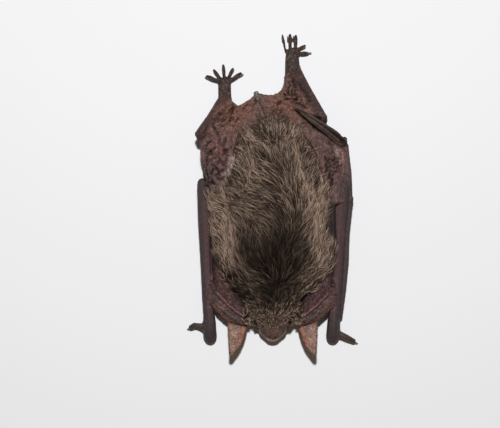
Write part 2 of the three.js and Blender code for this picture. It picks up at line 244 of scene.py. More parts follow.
# feet: turns are degrees from the way the foot points, roots and drops how far aside and how far back each
# toe starts, and the fifth toe is the inner one
feet = {
    "right": {"ankle": (-11.0, 22.6, 2.3), "toeRoot": (-11.1, 26.9, 1.5), "turns": (66, 36, 4, -27, -56),
              "reach": (3.15, 3.1, 3.3, 3.1, 3.25), "roots": (1.3, 0.65, 0, -0.62, -1.2),
              "drops": (0.5, 0.25, 0, 0.25, 0.5),
              "thick": (0.48, 0.41, 0.44, 0.4, 0.48), "wide": (1.7, 1.6, 1.6, 1.6)},
    "left": {"ankle": (4.6, 28.4, 2.3), "toeRoot": (4.5, 34.0, 1.5), "turns": (10, -1, -4, -62, -90),
             "reach": (3.5, 3.2, 3.0, 2.5, 2.6), "roots": (1.55, 0.45, -0.75, -0.9, -1.2),
             "drops": (0.2, 0, 0, 0.5, 1.2),
             "thick": (0.3, 0.48, 0.48, 0.38, 0.46), "wide": (1.95, 1.8, 1.65, 1.35)},
}


def toeLines(foot):
    ankle, toeRoot = np.array(foot["ankle"]), np.array(foot["toeRoot"])
    forward = (toeRoot - ankle) * (1, 1, 0)
    forward /= np.linalg.norm(forward)
    across = np.array([-forward[1], forward[0], 0])
    lines = []
    for turn, reach, aside, drop in zip(foot["turns"], foot["reach"], foot["roots"], foot["drops"]):
        angle = math.radians(turn)
        heading = forward * math.cos(angle) + across * math.sin(angle)
        root = toeRoot + across * aside - forward * drop
        lines.append([np.array([*(root + heading * reach * share)[:2], z])
                      for share, z in ((-0.15, 1.3), (0.12, 1.5), (0.42, 1.75), (0.72, 1.4), (1.02, 0.95))])
    return lines


# one skin over the whole animal

skinPlan = {
    "grow": 0.17,  # closes the hair-thin gaps between the solids
    "voxel": 0.18,
    "smoothRounds": 9,
    "furredRounds": 150,
    "coatBlur": 60,
    "foldHeight": 1.25,
    "ribSpacing": 1.15, "ribHeight": 0.05, "ribShade": 0.12,
    "slitWidth": 0.3, "slitDepth": 0.5, "slitShade": 1.1,
    "most": 190000,  # triangles
}


def solidsFromAbove():  # the flesh solids as one tree, to find how high they reach over a place
    corners, faces = [], []
    for name in fleshNodes:
        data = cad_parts[name].data
        faces += [[len(corners) + i for i in polygon.vertices] for polygon in data.polygons]
        corners += [vert.co / metre for vert in data.vertices]
    return BVHTree.FromPolygons(corners, faces)


def addFeet(mesh):  # the solids of the feet are too plain for toes, so they are drawn afresh
    for foot in feet.values():
        ankle, toeRoot = np.array(foot["ankle"]), np.array(foot["toeRoot"])
        addRod(mesh, [ankle * 1.25 - toeRoot * 0.25, ankle * 0.8 + toeRoot * 0.2,
                      ankle * 0.35 + toeRoot * 0.65, toeRoot * 0.96 + ankle * 0.04 + (0, 0, 0.1)],
               foot["wide"], [1.2, 1.15, 1.0, 0.66])
        for line, thick in zip(toeLines(foot), foot["thick"]):
            addRod(mesh, line, [thick * share for share in (0.95, 0.92, 1.05, 1.15, 0.8)], ringCount=18)


# what shows through the skin or folds it, in mm. A rod has its points, its half-widths along them,
# its half-heights where they differ, and its number of rings. A ball has its centre and its three radii
pairedShapes = [  # given for the left side, and made on both
    # front rim of each curled ear, and the roll of its outer edge
    ([(13.5, -21.4, 5.0), (10.2, -24.8, 6.9), (6.6, -27.9, 7.7)], [0.2, 0.22, 0.24], [0.45, 0.55, 0.5], 20),
    ([(13.6, -24.4, 3.6), (11.2, -27.8, 4.3), (8.8, -29.2, 4.9), (6.9, -29.9, 5.2)],
     [0.3, 0.36, 0.4, 0.35]),
    # thick rims of the ear spears, and their slightly hollow middles
    ([(10.15, -28.8, 4.9), (10.05, -31.0, 5.4), (9.85, -33.0, 6.2), (9.75, -34.8, 7.1), (9.5, -36.0, 7.9)],
     [0.34, 0.32, 0.3, 0.28, 0.26], None, 24),
    ([(6.0, -28.8, 4.9), (6.45, -31.0, 5.4), (6.95, -32.9, 6.2), (7.8, -34.7, 7.1), (9.15, -36.1, 7.9)],
     [0.32, 0.3, 0.28, 0.26, 0.26], None, 24),
    ([(8.0, -28.8, 4.75), (8.3, -31.8, 5.5), (8.6, -34.2, 6.7), (9.2, -35.7, 7.6)],
     [1.9, 1.65, 1.1, 0.4], [0.22, 0.2, 0.2, 0.2], 24),
    # glands that swell the muzzle, brow, cheek, nostril rim and the edge of the lip
    ((1.5, -31.2, 5.1), (1.2, 1.3, 0.85)),
    ((2.6, -28.7, 6.4), (1.3, 1.5, 1.0)),
    ((5.4, -27.6, 6.1), (0.9, 1.0, 0.9)),
    ((0.95, -33.05, 4.1), (0.5, 0.5, 0.4)),
    ([(3.3, -30.4, 4.2), (2.95, -31.4, 4.1), (2.25, -32.15, 4.0), (1.2, -32.9, 3.9)],
     [0.26, 0.3, 0.3, 0.24]),
    # skin drawn from the neck to the ear
    ([(8.6, -21.0, 5.6), (7.2, -24.2, 5.4), (5.6, -27.2, 5.2)], [1.5, 1.5, 1.1], [1.1, 1.1, 0.9]),
    # heavy upper lid, nearly closed over the eye, the skin from cheek to ear, and the lower lid
    ((3.65, -29.4, 5.6), (1.2, 1.2, 0.95)),
    ((4.8, -28.9, 4.7), (1.2, 1.0, 1.0)),
    ([(3.4, -30.3, 5.0), (4.1, -29.6, 4.6), (3.9, -28.5, 5.0)], [0.2, 0.26, 0.2]),
]
noseAndWingShapes = [
    # pad between the nostrils
    ([(-1.15, -33.3, 3.7), (0, -33.4, 3.85), (1.15, -33.3, 3.7)], [0.36, 0.36, 0.36], [0.4, 0.45, 0.4]),
    # the left knee, and the web under the folded wing tip
    ((11.5, 17.0, 8.2), (1.1, 1.2, 1.0)),
    ([(8.6, 16.6, 6.4), (11.8, 14.6, 5.8), (14.4, 12.8, 5.4), (16.2, 10.6, 5.2)],
     [1.4, 1.8, 1.8, 1.2], [1.0, 0.9, 0.8, 0.6], 30),
    # the edge of the left wing below its folded tip
    ([(16.4, 13.2, 5.8), (16.6, 10.6, 5.4), (16.8, 7.0, 5.2), (17.0, 3.4, 5.0)],
     [0.7, 0.8, 0.7, 0.6], [0.6, 0.5, 0.5, 0.5], 30),
    # knobs of the elbows, and the joint half way along the left wing's edge
    ((-16.1, 2.9, 5.3), (1.3, 1.2, 1.1)),
    ((16.6, 2.2, 5.1), (1.25, 1.5, 1.1)),
    ((18.0, -0.9, 4.1), (0.75, 1.1, 0.7)),
]
tailAndLegShapes = [
    # tail bones under the web, and the small knob where the tail turns under
    ([(-1.9, 14.6, 8.6), (-2.5, 18.6, 6.9), (-3.6, 22.6, 3.8)], [0.42, 0.46, 0.5], [0.6, 0.7, 0.55], 20),
    ((-3.75, 23.5, 2.6), (0.62, 0.6, 0.75)),
    # tendons along the shins, and the skin that widens them above the ankles
    ([(-10.6, 22.0, 3.4), (-13.4, 18.0, 6.4), (-16.2, 14.4, 9.1)], [0.3, 0.34, 0.5]),
    ([(5.9, 29.4, 2.8), (8.0, 24.6, 5.4), (11.4, 18.4, 8.6)], [0.6, 0.75, 0.7]),
    ([(4.7, 29.8, 2.4), (5.05, 26.8, 2.9), (5.5, 24.2, 3.8)], [1.85, 1.95, 1.6], [0.8, 0.8, 0.9]),
    ([(-10.9, 23.2, 2.4), (-10.9, 21.4, 3.2), (-11.6, 19.2, 4.6)], [1.3, 1.6, 1.7], [0.7, 0.6, 0.6]),
    # the bunched corner of the tail web at the left ankle
    ([(3.5, 26.0, 3.0), (3.3, 24.4, 3.4), (3.4, 22.6, 3.8)], [0.6, 0.75, 0.7]),
]
# lumps of skin bunched at the left ankle, seen from above, and how thick they are
ankleFolds = [
    ([(3.1, 26.1), (2.95, 24.6), (3.0, 23.0)], 0.55),
    ([(4.1, 25.9), (4.0, 24.6), (4.1, 23.8)], 0.45),
    ([(5.4, 25.9), (6.3, 24.2), (7.3, 22.6)], 0.55),
    ([(4.1, 23.5), (4.6, 23.3), (4.9, 23.4)], 0.6),
    ([(3.1, 22.5), (4.1, 22.5), (5.2, 22.3)], 0.55),
    ([(5.8, 23.1), (6.3, 22.4), (6.9, 21.9)], 0.5),
    ([(2.3, 21.6), (3.2, 21.3), (4.3, 21.4)], 0.45),
    ([(5.3, 21.3), (6.2, 21.1), (7.1, 20.7)], 0.5),
]
# broad slack folds of the right flank, the last one over the elbow, and how thick they are
flankFolds = [
    ([(-15.0, 9.6, 7.6), (-13.9, 6.4, 8.2), (-12.4, 2.4, 8.2)], 0.75),
    ([(-13.3, 11.4, 8.9), (-12.0, 7.4, 9.2), (-11.7, 3.4, 8.8)], 0.65),
    ([(-12.0, 12.8, 9.4), (-10.8, 10.2, 9.9), (-10.3, 8.6, 9.9)], 0.6),
    ([(-14.9, 6.2, 7.2), (-15.1, 4.4, 6.9), (-13.6, 3.3, 7.4)], 0.85),
]
# two pale pleats of the same flank
palePleats = [
    ([(-9.1, 8.4, 9.6), (-9.6, 6.4, 9.7), (-10.2, 4.6, 9.4)], [0.25, 0.42, 0.2]),
    ([(-10.5, 4.8, 9.2), (-10.8, 2.9, 9.1), (-11.3, 1.2, 8.7)], [0.2, 0.34, 0.2]),
]
# zones of small strewn folds: the left ankle, the right flank and thigh, the left flank and the tail web.
# In mm and degrees: where, how far each way, which way the folds run and stray, how many and how big
looseSkin = [
    {"at": (6.0, 22.8), "size": (2.6, 2.6), "turn": 80, "stray": 50, "count": 9, "long": 0.8, "thick": 0.7},
    {"at": (-12.0, 7.6), "size": (2.2, 4.6), "turn": 72, "stray": 24, "count": 24, "long": 2.0,
     "thick": 0.75},
    {"at": (-10.2, 18.4), "size": (2.4, 2.2), "turn": 50, "stray": 14, "count": 18, "long": 1.5,
     "thick": 0.5},
    {"at": (13.6, 7.0), "size": (2.4, 5.0), "turn": 105, "stray": 20, "count": 26, "long": 1.8,
     "thick": 0.42},
    {"at": (-4.0, 19.8), "size": (6.0, 1.8), "turn": 80, "stray": 20, "count": 30, "long": 0.8,
     "thick": 0.3},
]


def addShapes(mesh, shapes, sign=1):
    for place, *sizes in shapes:
        if isinstance(place, list):
            addRod(mesh, mirrored(place, sign), *sizes)
        else:
            addBall(mesh, (sign * place[0], *place[1:]), *sizes)


def addBonesAndFolds(mesh):
    for side, sign in sides.items():
        addShapes(mesh, pairedShapes, sign)
        # the wrist carries on the line of the forearm without a waist
        wrist = {"right": 14.5, "left": 14.0}[side]
        addRod(mesh, mirrored([(wrist + 0.3, -25.6, 3.1), (wrist + 0.1, -29.6, 2.7),
                               (wrist - 0.1, -32.6, 2.1), (wrist - 0.1, -33.9, 1.9)], sign),
               [1.25, 1.55, 1.7, 1.1], [1.0, 1.1, 1.0, 0.8])
        # the web low between the folded wing and the body
        addRod(mesh, mirrored([(13.6, -3.0, 4.2), (13.6, -10.0, 3.6), (13.5, -18.0, 3.2),
                               (12.6, -25.0, 2.8)], sign),
               [1.3, 1.4, 1.4, 1.0], [0.9, 0.8, 0.8, 0.7], ringCount=40)
    addShapes(mesh, noseAndWingShapes)
    # long tendons and finger bones along both forearms
    for sign, lines in ((-1, ((15.0, 14.1), (16.1, 15.0))), (1, ((14.9, 13.6), (16.0, 14.5)))):
        for top, bottom in lines:
            addRod(mesh, mirrored([(top, 0.5, 5.9), (top * 0.5 + bottom * 0.5, -14.0, 4.45),
                                   (bottom, -29.0, 3.2)], sign),
                   [0.2, 0.22, 0.2], [0.42, 0.38, 0.42], ringCount=40)
    addShapes(mesh, tailAndLegShapes)
    above = solidsFromAbove()
    for line, thick in ankleFolds:
        hits = [above.ray_cast((x, y, 30), (0, 0, -1))[0] or Vector((x, y, 3.4)) for x, y in line]
        addRod(mesh, [np.array(hit) + (0, 0, 0.45) for hit in hits],
               [thick * 0.7, thick, thick * 0.8], ringCount=14)
    # the folded tip of the left wing: a thin pleated band with ridges along it
    addRod(mesh, [(4.4, 20.1, 9.0), (7.4, 18.1, 9.3), (10.2, 16.2, 9.2), (13.5, 13.9, 8.5),
                  (16.6, 11.8, 6.2)],
           [0.2, 0.65, 1.0, 1.15, 0.8], [0.25, 0.45, 0.55, 0.6, 0.5], ringCount=30)
    for shift, thick in ((-0.85, 0.2), (-0.35, 0.16), (0.2, 0.2), (0.75, 0.26)):
        addRod(mesh, [(5.4, 19.6 + shift * 0.2, 9.3), (7.5 + shift * 0.2, 18.1 + shift * 0.6, 9.8),
                      (10.3 + shift * 0.4, 16.2 + shift * 0.85, 9.8),
                      (13.5 + shift * 0.5, 13.9 + shift * 0.95, 9.15),
                      (16.2 + shift * 0.5, 12.0 + shift * 0.9, 7.1)],
               [thick] * 5, [thick * 1.4] * 5, ringCount=34)
    # long slack folds of the left wing between the body and its edge
    for shift, lift in ((0, 0), (-1.0, 0.5), (-2.1, 0.9), (0.8, -0.5)):
        addRod(mesh, [(13.8 + shift, 12.0, 7.3 + lift), (15.2 + shift, 9.2, 7.0 + lift),
                      (15.6 + shift * 0.7, 5.6, 6.6 + lift), (15.0 + shift * 0.4, 1.8, 6.0 + lift)],
               [0.18, 0.28, 0.26, 0.16], ringCount=24)
    # small strewn folds, every third or so with a slit beside it
    rng = np.random.default_rng(11)
    for zone in looseSkin:
        for _ in range(zone["count"]):
            middle = np.array(zone["at"]) + rng.uniform(-1, 1, 2) * zone["size"]
            turn = math.radians(zone["turn"] + rng.normal(0, zone["stray"]))
            step = np.array([math.cos(turn), math.sin(turn)]) * zone["long"] * rng.uniform(0.6, 1.3)
            bend = np.array([-step[1], step[0]]) * rng.uniform(-0.5, 0.5)
            places = [middle - step, middle - step * 0.3 + bend, middle + step * 0.4 + bend, middle + step]
            hits = [above.ray_cast((x, y, 30), (0, 0, -1))[0] for x, y in places]
            if all(hits):
                lift = zone["thick"] * 0.45
                addRod(mesh, [np.array(hit) + (0, 0, lift) for hit in hits],
                       [zone["thick"] * share for share in (0.45, 1, 0.9, 0.4)], ringCount=9, sideCount=8)
                aside = np.array([-step[1], step[0], 0]) / np.linalg.norm(step) * zone["thick"]
                if rng.random() < 0.35:
                    slits.append([(np.array(hit) + aside)[:2] for hit in hits])
    for line, thick in flankFolds:
        addRod(mesh, line, [thick * 0.6, thick, thick * 0.7], ringCount=24)
    addShapes(mesh, palePleats)


# lines of colour on the upper side of the skin: hex, how strong, how wide in mm, and the points they pass
skinMarks = [
    ("#6b6460", 0.75, 0.6, [(-3.1, 20.6), (-3.6, 22.8), (-3.8, 23.6)]),
    ("#55494a", 0.4, 0.5, [(-2.1, 17.0), (-2.6, 19.0), (-3.1, 20.6)]),
    ("#3b3434", 0.85, 2.2, [(-16.3, 4.2), (-15.6, 1.4)]),
    ("#3b3434", 0.75, 1.8, [(16.4, 3.4), (16.6, 0.6)]),
    # grey outer and reddish inner lines of the folded wings
    ("#393133", 0.8, 0.85, [(-17.2, -1.0), (-16.5, -14.0), (-15.5, -28.0), (-15.2, -32.6)]),
    ("#393133", 0.8, 0.85, [(17.6, -1.0), (16.9, -14.0), (15.3, -28.0), (14.9, -32.6)]),
    ("#5c3436", 0.6, 0.35, [(-15.0, -6.0), (-14.6, -18.0), (-13.9, -29.0)]),
    ("#5c3436", 0.6, 0.35, [(15.0, -6.0), (14.4, -18.0), (13.4, -28.0)]),
    # painted shadow in the hollow over the right elbow, under the flap of flank skin
    ("#0b0707", 0.9, 0.55, [(-15.3, 4.0), (-14.6, 3.2), (-13.7, 2.8)]),
    # pale pleats of the right flank, their pale partly the skin's own and partly painted highlight along
    # the crests, and the colours of the webs
    ("#a39590", 0.85, 0.6, [(-9.1, 8.3), (-9.6, 6.4), (-10.1, 4.8)]),
    ("#9c8b86", 0.75, 0.45, [(-10.5, 4.7), (-10.8, 2.9), (-11.2, 1.4)]),
    ("#6e4744", 0.35, 2.0, [(-12.6, 11.6), (-11.2, 8.6)]),
    ("#744a38", 0.5, 2.2, [(-10.6, 18.6), (-8.0, 18.8), (-5.6, 20.0)]),
    ("#744b3f", 0.45, 2.2, [(0.4, 20.6), (3.6, 21.0)]),
    ("#5c4c4a", 0.5, 1.8, [(-4.6, 16.4), (-2.4, 18.4), (-3.2, 21.0)]),
    # the folded tip of the left wing: pale bones and brown ridge lines, partly their own colour and partly
    # painted highlight along the ridges, black furrows of painted shade between them, and a wider black
    # line of painted shadow along the band's lower edge
    ("#6a5648", 0.8, 0.13, [(8.2, 18.3), (12.2, 15.8), (16.8, 12.6)]),
    ("#0d0908", 0.8, 0.22, [(7.4, 18.1), (11.9, 15.4), (16.2, 12.2)]),
    ("#6b4c3c", 0.85, 0.14, [(6.4, 18.6), (10.6, 15.8), (15.0, 12.5)]),
    ("#5b4032", 0.8, 0.12, [(6.2, 18.3), (10.2, 15.3), (14.4, 12.0)]),
    ("#0d0908", 0.9, 0.34, [(5.8, 18.5), (9.9, 15.1), (13.0, 12.8), (15.4, 11.0)]),
    # the left side web: a pink fold line, a pale line of painted highlight on the folds, and a broad darker
    # patch
    ("#96706a", 0.7, 0.28, [(14.4, 10.2), (15.6, 9.6), (15.4, 6.6)]),
    ("#8d8480", 0.7, 0.3, [(13.8, 10.9), (14.9, 8.8)]),
    ("#45322f", 0.45, 2.4, [(11.4, 11.6), (12.6, 7.6), (12.8, 3.6)]),
]
# the same on both sides, given for the left
for hexText, strength, width, line in (
        ("#a87c7c", 0.75, 0.15, [(13.6, -21.4), (10.2, -24.8), (6.6, -27.7)]),
        ("#5d3f30", 0.5, 0.75, [(12.6, -25.2), (11.4, -27.6), (9.4, -29.2)]),
        # painted shade in the gap between the fur and the folded wing
        ("#1f1615", 0.8, 0.8, [(13.7, -7.0), (13.8, -14.0), (13.5, -22.0)]),
        ("#2b2020", 0.6, 1.1, [(10.6, -20.6), (8.4, -23.4), (6.4, -25.8)]),
        ("#c8a99c", 0.95, 0.28, [(3.5, -30.5), (3.1, -31.5), (2.35, -32.3), (1.3, -33.0)]),
        ("#33201d", 0.85, 0.5, [(2.8, -30.6), (2.35, -31.6), (1.4, -32.5)]),
        ("#4f1d20", 0.9, 0.3, [(1.0, -32.7), (0.66, -33.05)]),
        ("#a88880", 0.8, 0.16, [(0.0, -33.55), (1.2, -33.5)]),
        ("#3a2d2b", 0.85, 0.6, [(6.3, -29.7), (7.4, -29.0), (8.8, -28.5)]),
        # the spears: rusty along the inner edge and dark at the rims, partly their own colour and partly
        # painted shade on the hollow blade's edges, and greyer down the middle
        ("#834a30", 0.5, 0.6, [(6.2, -29.4), (6.9, -31.8), (7.6, -33.6)]),
        ("#8a7168", 0.5, 0.7, [(8.7, -30.6), (8.9, -33.0), (9.2, -35.2)]),
        ("#4a2a20", 0.6, 0.2, [(10.35, -29.0), (10.2, -32.0), (9.95, -35.0), (9.6, -36.2)]),
        ("#4a2a20", 0.6, 0.2, [(6.4, -31.6), (7.3, -34.2), (8.9, -36.1)])):
    skinMarks += [(hexText, strength, width, [(sign * x, y) for x, y in line]) for sign in sides.values()]

# deep narrow folds in the webs and at the ankle
slits = [
    [(-11.7, 16.9), (-10.2, 18.8), (-8.7, 20.4)],
    [(-12.6, 17.0), (-11.2, 19.0), (-10.2, 20.6)],
    [(-13.6, 15.6), (-12.2, 13.4), (-12.4, 11.6)],
    [(-14.4, 9.4), (-12.8, 9.0), (-11.6, 7.4)],
    [(-13.9, 7.0), (-12.4, 5.4), (-12.6, 3.4)],
    [(-11.2, 7.4), (-10.4, 5.6), (-10.4, 3.8)],
    [(-1.2, 14.5), (-1.6, 18.0), (-2.5, 20.8)],
    [(3.65, 25.9), (3.5, 24.3), (3.6, 22.9)],
    [(4.5, 26.6), (5.0, 24.6), (5.4, 23.4)],
    [(6.0, 26.0), (7.2, 23.8), (8.4, 21.6)],
    [(2.7, 22.9), (3.6, 23.0), (5.2, 22.85)],
    [(5.4, 23.4), (5.6, 22.2), (5.0, 21.8)],
    [(2.6, 22.0), (4.2, 21.9), (6.7, 21.5)],
    [(4.8, 21.2), (6.2, 20.4), (7.6, 20.0)],
    [(13.0, 11.8), (14.2, 9.2), (13.9, 6.0)],
    [(11.8, 8.6), (13.0, 6.0), (12.8, 3.8)],
    [(0.5, -33.15), (0.8, -32.95)],
    [(-0.5, -33.15), (-0.8, -32.95)],
]


def gapTo(line, points, reach):  # seen from above, how far the points near a line are from it
    line = smoothLine(line, 30)
    away = np.full(len(points), 99.0)
    near = (np.abs(points[:, :2] - line.mean(0)) < np.ptp(line, axis=0) / 2 + reach).all(1)
    away[near] = np.linalg.norm(points[near][:, None, :2] - line[None], axis=2).min(1)
    return away


def painted(tint, points, upward):
    for hexText, strength, width, line in skinMarks:
        share = strength * upward * np.exp(-(gapTo(line, points, 3 * width + 1) / width) ** 2)
        tint = tint * (1 - share[:, None]) + np.array(colour(hexText)[:3]) * share[:, None]
    return tint


def neighbourMean(values, edges, count):
    total = np.zeros_like(values)
    for column in range(values.shape[1]):
        total[:, column] = (np.bincount(edges[:, 0], values[edges[:, 1], column], len(values))
                            + np.bincount(edges[:, 1], values[edges[:, 0], column], len(values)))
    return total / count[:, None]


def blurred(values, edges, count, rounds):
    for _ in range(rounds):
        values = values + (neighbourMean(values, edges, count) - values) * 0.6
    return values


def nearestParts(points):  # the solid that each point of the skin belongs to
    labels, samples = [], []
    rng = np.random.default_rng(3)
    for index, name in enumerate(fleshNodes):
        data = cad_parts[name].data
        data.calc_loop_triangles()
        co = np.array([v.co for v in data.vertices]) / metre
        tris = co[np.array([t.vertices[:] for t in data.loop_triangles])]
        area = np.linalg.norm(np.cross(tris[:, 1] - tris[:, 0], tris[:, 2] - tris[:, 0]), axis=1)
        picks = rng.choice(len(tris), int(area.sum() * 3) + 60, p=area / area.sum())
        a, b = rng.random((2, len(picks), 1))
        a, b = np.where(a + b > 1, 1 - a, a), np.where(a + b > 1, 1 - b, b)
        chosen = tris[picks]
        samples.append(chosen[:, 0] + (chosen[:, 1] - chosen[:, 0]) * a + (chosen[:, 2] - chosen[:, 0]) * b)
        labels += [index] * len(picks)
    samples = np.concatenate(samples)
    tree = kdtree.KDTree(len(samples))
    for i, point in enumerate(samples):
        tree.insert(point, i)
    tree.balance()
    return np.array([labels[tree.find(point)[1]] for point in points])


# how far the roots of the fur reach from the middle, as pairs of the place along the body and the reach
furEdge = {
    "right": [(-33.0, 0.1), (-32.0, 1.1), (-31.0, 2.2), (-30.2, 4.8), (-29.0, 6.0), (-27.4, 6.0),
              (-25.0, 5.4), (-20.5, 7.9), (-19.0, 9.5), (-15.0, 11.6), (-9.0, 12.1), (-4.0, 12.4),
              (-1.3, 12.2), (0.6, 9.8), (2.4, 8.2), (4.6, 7.2), (8.0, 6.9), (11.6, 7.2), (14.3, 5.4),
              (15.6, 2.4)],
    "left": [(-33.0, 0.1), (-32.0, 1.1), (-31.0, 2.2), (-30.2, 4.8), (-29.0, 6.0), (-27.4, 6.0),
             (-25.0, 5.2), (-22.0, 7.2), (-19.0, 10.2), (-14.5, 12.1), (-7.8, 11.8), (-2.7, 12.2),
             (0.0, 11.3), (3.5, 9.6), (7.0, 8.7), (13.0, 6.8), (15.0, 4.8), (16.0, 2.2)],
    "rear": 16.2,
    "parts": ("trunk", "neck", "head", "muzzle", "upper_arm", "side_web", "tail_web", "shoulder_web",
              "lower_jaw", "thigh"),
}


def edgeOfFur(points):  # how far inside the edge of the fur each point is
    x, y = points.T[:2]
    reach = np.where(x < 0, np.interp(y, *zip(*furEdge["right"])), np.interp(y, *zip(*furEdge["left"])))
    ragged = np.array([0.6 * noise.noise(Vector(p) * 0.55) + 0.5 * noise.noise(Vector(p) * 1.7)
                       for p in points])
    return np.minimum(reach - np.abs(x), (furEdge["rear"] - y) * 0.4) + ragged


def crumple(points, size):  # soft swellings between sharp creases, -0.7 to 0.7 high
    height = np.empty(len(points))
    for i, (x, y, z) in enumerate(points / size):
        bent = Vector((x + 0.7 * noise.noise(Vector((y, z, x)) * 0.8),
                       y + 0.7 * noise.noise(Vector((z, x, y))), z))
        height[i] = noise.ridged_multi_fractal(bent, 0.9, 2.1, 2, 1.0, 1.6)
    return np.clip(0.9 - height * 0.6, -0.7, 0.7)


def buildSkin():
    mesh = bmesh.new()
    for name in fleshNodes:
        if partOf(name) == "foot" or name == "left_wing_tip":
            continue  # drawn afresh below, in finer shapes
        solid = bmesh.new()
        solid.from_mesh(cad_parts[name].data)
        bmesh.ops.remove_doubles(solid, verts=solid.verts, dist=1e-6)
        bmesh.ops.scale(solid, vec=(1 / metre,) * 3, verts=solid.verts)
        solid.normal_update()
        for vert in solid.verts:
            vert.co += vert.normal * skinPlan["grow"]
        part = bpy.data.meshes.new("part")
        solid.to_mesh(part)
        solid.free()
        mesh.from_mesh(part)
        bpy.data.meshes.remove(part)
    addFeet(mesh)
    addBonesAndFolds(mesh)
    skin = toObject(mesh, "skin")
    remesh = skin.modifiers.new("oneSkin", "REMESH")
    remesh.mode = "VOXEL"
    remesh.voxel_size = skinPlan["voxel"]
    evaluated(skin)

    data = skin.data
    count = len(data.vertices)
    co = np.empty(count * 3)
    data.vertices.foreach_get("co", co)
    co = co.reshape(-1, 3)
    edges = np.empty(len(data.edges) * 2, int)
    data.edges.foreach_get("vertices", edges)
    edges = edges.reshape(-1, 2)
    degree = np.bincount(edges.ravel(), minlength=count).clip(1).astype(float)
    print("skin as remeshed:", count, "points")

    def normals():
        data.vertices.foreach_set("co", co.ravel())
        data.update()
        found = np.empty(count * 3, np.float32)
        data.vertex_normals.foreach_get("vector", found)
        return found.reshape(-1, 3).astype(float)

    names = np.array([partOf(n) for n in fleshNodes])[nearestParts(co)]
    names[(names == "trunk") & (co[:, 1] > 14.5)] = "tail_web"
    names[(np.abs(co[:, 0]) < 6.5) & (co[:, 1] < -27.4) & (co[:, 1] > -29.7) & (names == "ear")] = "head"
    furry = np.isin(names, furEdge["parts"])
    thin = np.isin(names, ("tragus", "foot", "thumb", "third_finger", "fourth_finger", "fifth_finger"))

    # smooth the facets away, less on the thin parts, which would shrink, and most under the fur
    yielding = np.where(thin, 0.25, 0.62)[:, None]
    co -= normals() * skinPlan["grow"] * 0.6
    for _ in range(skinPlan["smoothRounds"]):
        co = co + (neighbourMean(co, edges, degree) - co) * yielding
        co = co - (neighbourMean(co, edges, degree) - co) * yielding * 0.55
    inside = edgeOfFur(co)
    share = ease(-1.2, 0.9, inside) * furry
    yielding = blurred(share[:, None] * ease(-28.5, -24.0, co[:, 1])[:, None], edges, degree, 8)
    for _ in range(skinPlan["furredRounds"]):
        co = co + (neighbourMean(co, edges, degree) - co) * yielding * 0.8

    coat, folds, mottle = (np.array([bodyParts[n][key] for n in names])
                           for key in ("coat", "crumple", "mottle"))
    tint = np.array([colour(bodyParts[n]["tint"]) for n in names])
    surface = co.copy()
    depth = blurred((coat * share)[:, None], edges, degree, skinPlan["coatBlur"])[:, 0]
    pleated = np.isin(names, ("side_web", "shoulder_web"))
    tint = blurred(tint[:, :3], edges, degree, 12)
    fields = blurred(np.column_stack([folds, mottle, tint, share, pleated]), edges, degree, 6)
    folds, mottle, share, pleated = (fields[:, i] for i in (0, 1, 5, 6))
    tint = fields[:, 2:5]
    upward = ease(-0.7, -0.2, normals()[:, 2])
    co -= normals() * (depth * (0.45 + 0.55 * upward))[:, None]
    co[:, 2] = np.maximum(co[:, 2], 0.02)
    facing = blurred(normals(), edges, degree, 12)
    facing /= np.linalg.norm(facing, axis=1)[:, None].clip(1e-6)

    # bare skin puckers, in the side webs in long pleats, and the ears have cross ribs
    bare = folds * (1 - share)
    height = np.zeros(count)
    for part, stretch, big, small in ((pleated, (1, 0.36, 0.6), 1.05, 0.4),
                                      (1 - pleated, (1, 1, 1), 0.7, 0.7)):
        loose = bare * part > 0.02
        spot = co[loose] * stretch
        height[loose] += part[loose] * (crumple(spot, 2.2) * big + crumple(spot + 40, 0.75) * small)
    acrossRibs = co[:, 1] - np.abs(co[:, 0]) * 0.8
    ribs = np.sin(acrossRibs * 2 * math.pi / skinPlan["ribSpacing"]) * (names == "ear")
    deep = np.zeros(count)
    for line in slits:
        deep = np.maximum(deep, upward * np.exp(-(gapTo(line, surface, 1.2) / skinPlan["slitWidth"]) ** 2))
    co += normals() * (bare * height * skinPlan["foldHeight"] + ribs * skinPlan["ribHeight"]
                       - deep * skinPlan["slitDepth"])[:, None]
    # painted shade and light: the ears' ribs lighter and darker in turn and the slits darker, added to the
    # folds' height, which the skin's material paints dark in hollows and light on crests
    height += ribs * skinPlan["ribShade"] - deep * skinPlan["slitShade"]
    co[:, 2] = np.maximum(co[:, 2], 0.0)
    normals()

    keep(skin, "furShare", "FLOAT", share)
    keep(skin, "crease", "FLOAT", height)
    keep(skin, "folds", "FLOAT", bare)
    keep(skin, "mottle", "FLOAT", mottle * (1 - share))
    keep(skin, "combed", "FLOAT", furry)
    keep(skin, "facing", "FLOAT_VECTOR", facing)
    keep(skin, "tint", "FLOAT_COLOR", np.column_stack([painted(tint, surface, upward), np.ones(count)]))
    keepCoatFields(skin, co, facing, inside)

    for polygon in data.polygons:
        polygon.use_smooth = True
    triangles = 2 * len(data.polygons)
    if triangles > skinPlan["most"]:  # thinned out most under the fur and the body
        hidden = np.round(np.maximum(1 - upward, share) * 8).astype(int)
        coarse = skin.vertex_groups.new(name="coarse")
        for level in range(9):
            coarse.add(np.flatnonzero(hidden == level).tolist(), 0.04 + 0.12 * level, "REPLACE")
        thinOut = skin.modifiers.new("thinOut", "DECIMATE")
        thinOut.ratio = skinPlan["most"] / triangles
        thinOut.vertex_group = "coarse"
        evaluated(skin)
        skin.vertex_groups.clear()
    return skin


def keep(piece, name, kind, values):  # a value at every point of the mesh, under a name
    layer = piece.data.attributes.new(name, kind, "POINT")
    field = {"FLOAT": "value", "FLOAT_VECTOR": "vector", "FLOAT_COLOR": "color"}[kind]
    layer.data.foreach_set(field, np.asarray(values, np.float32).ravel())


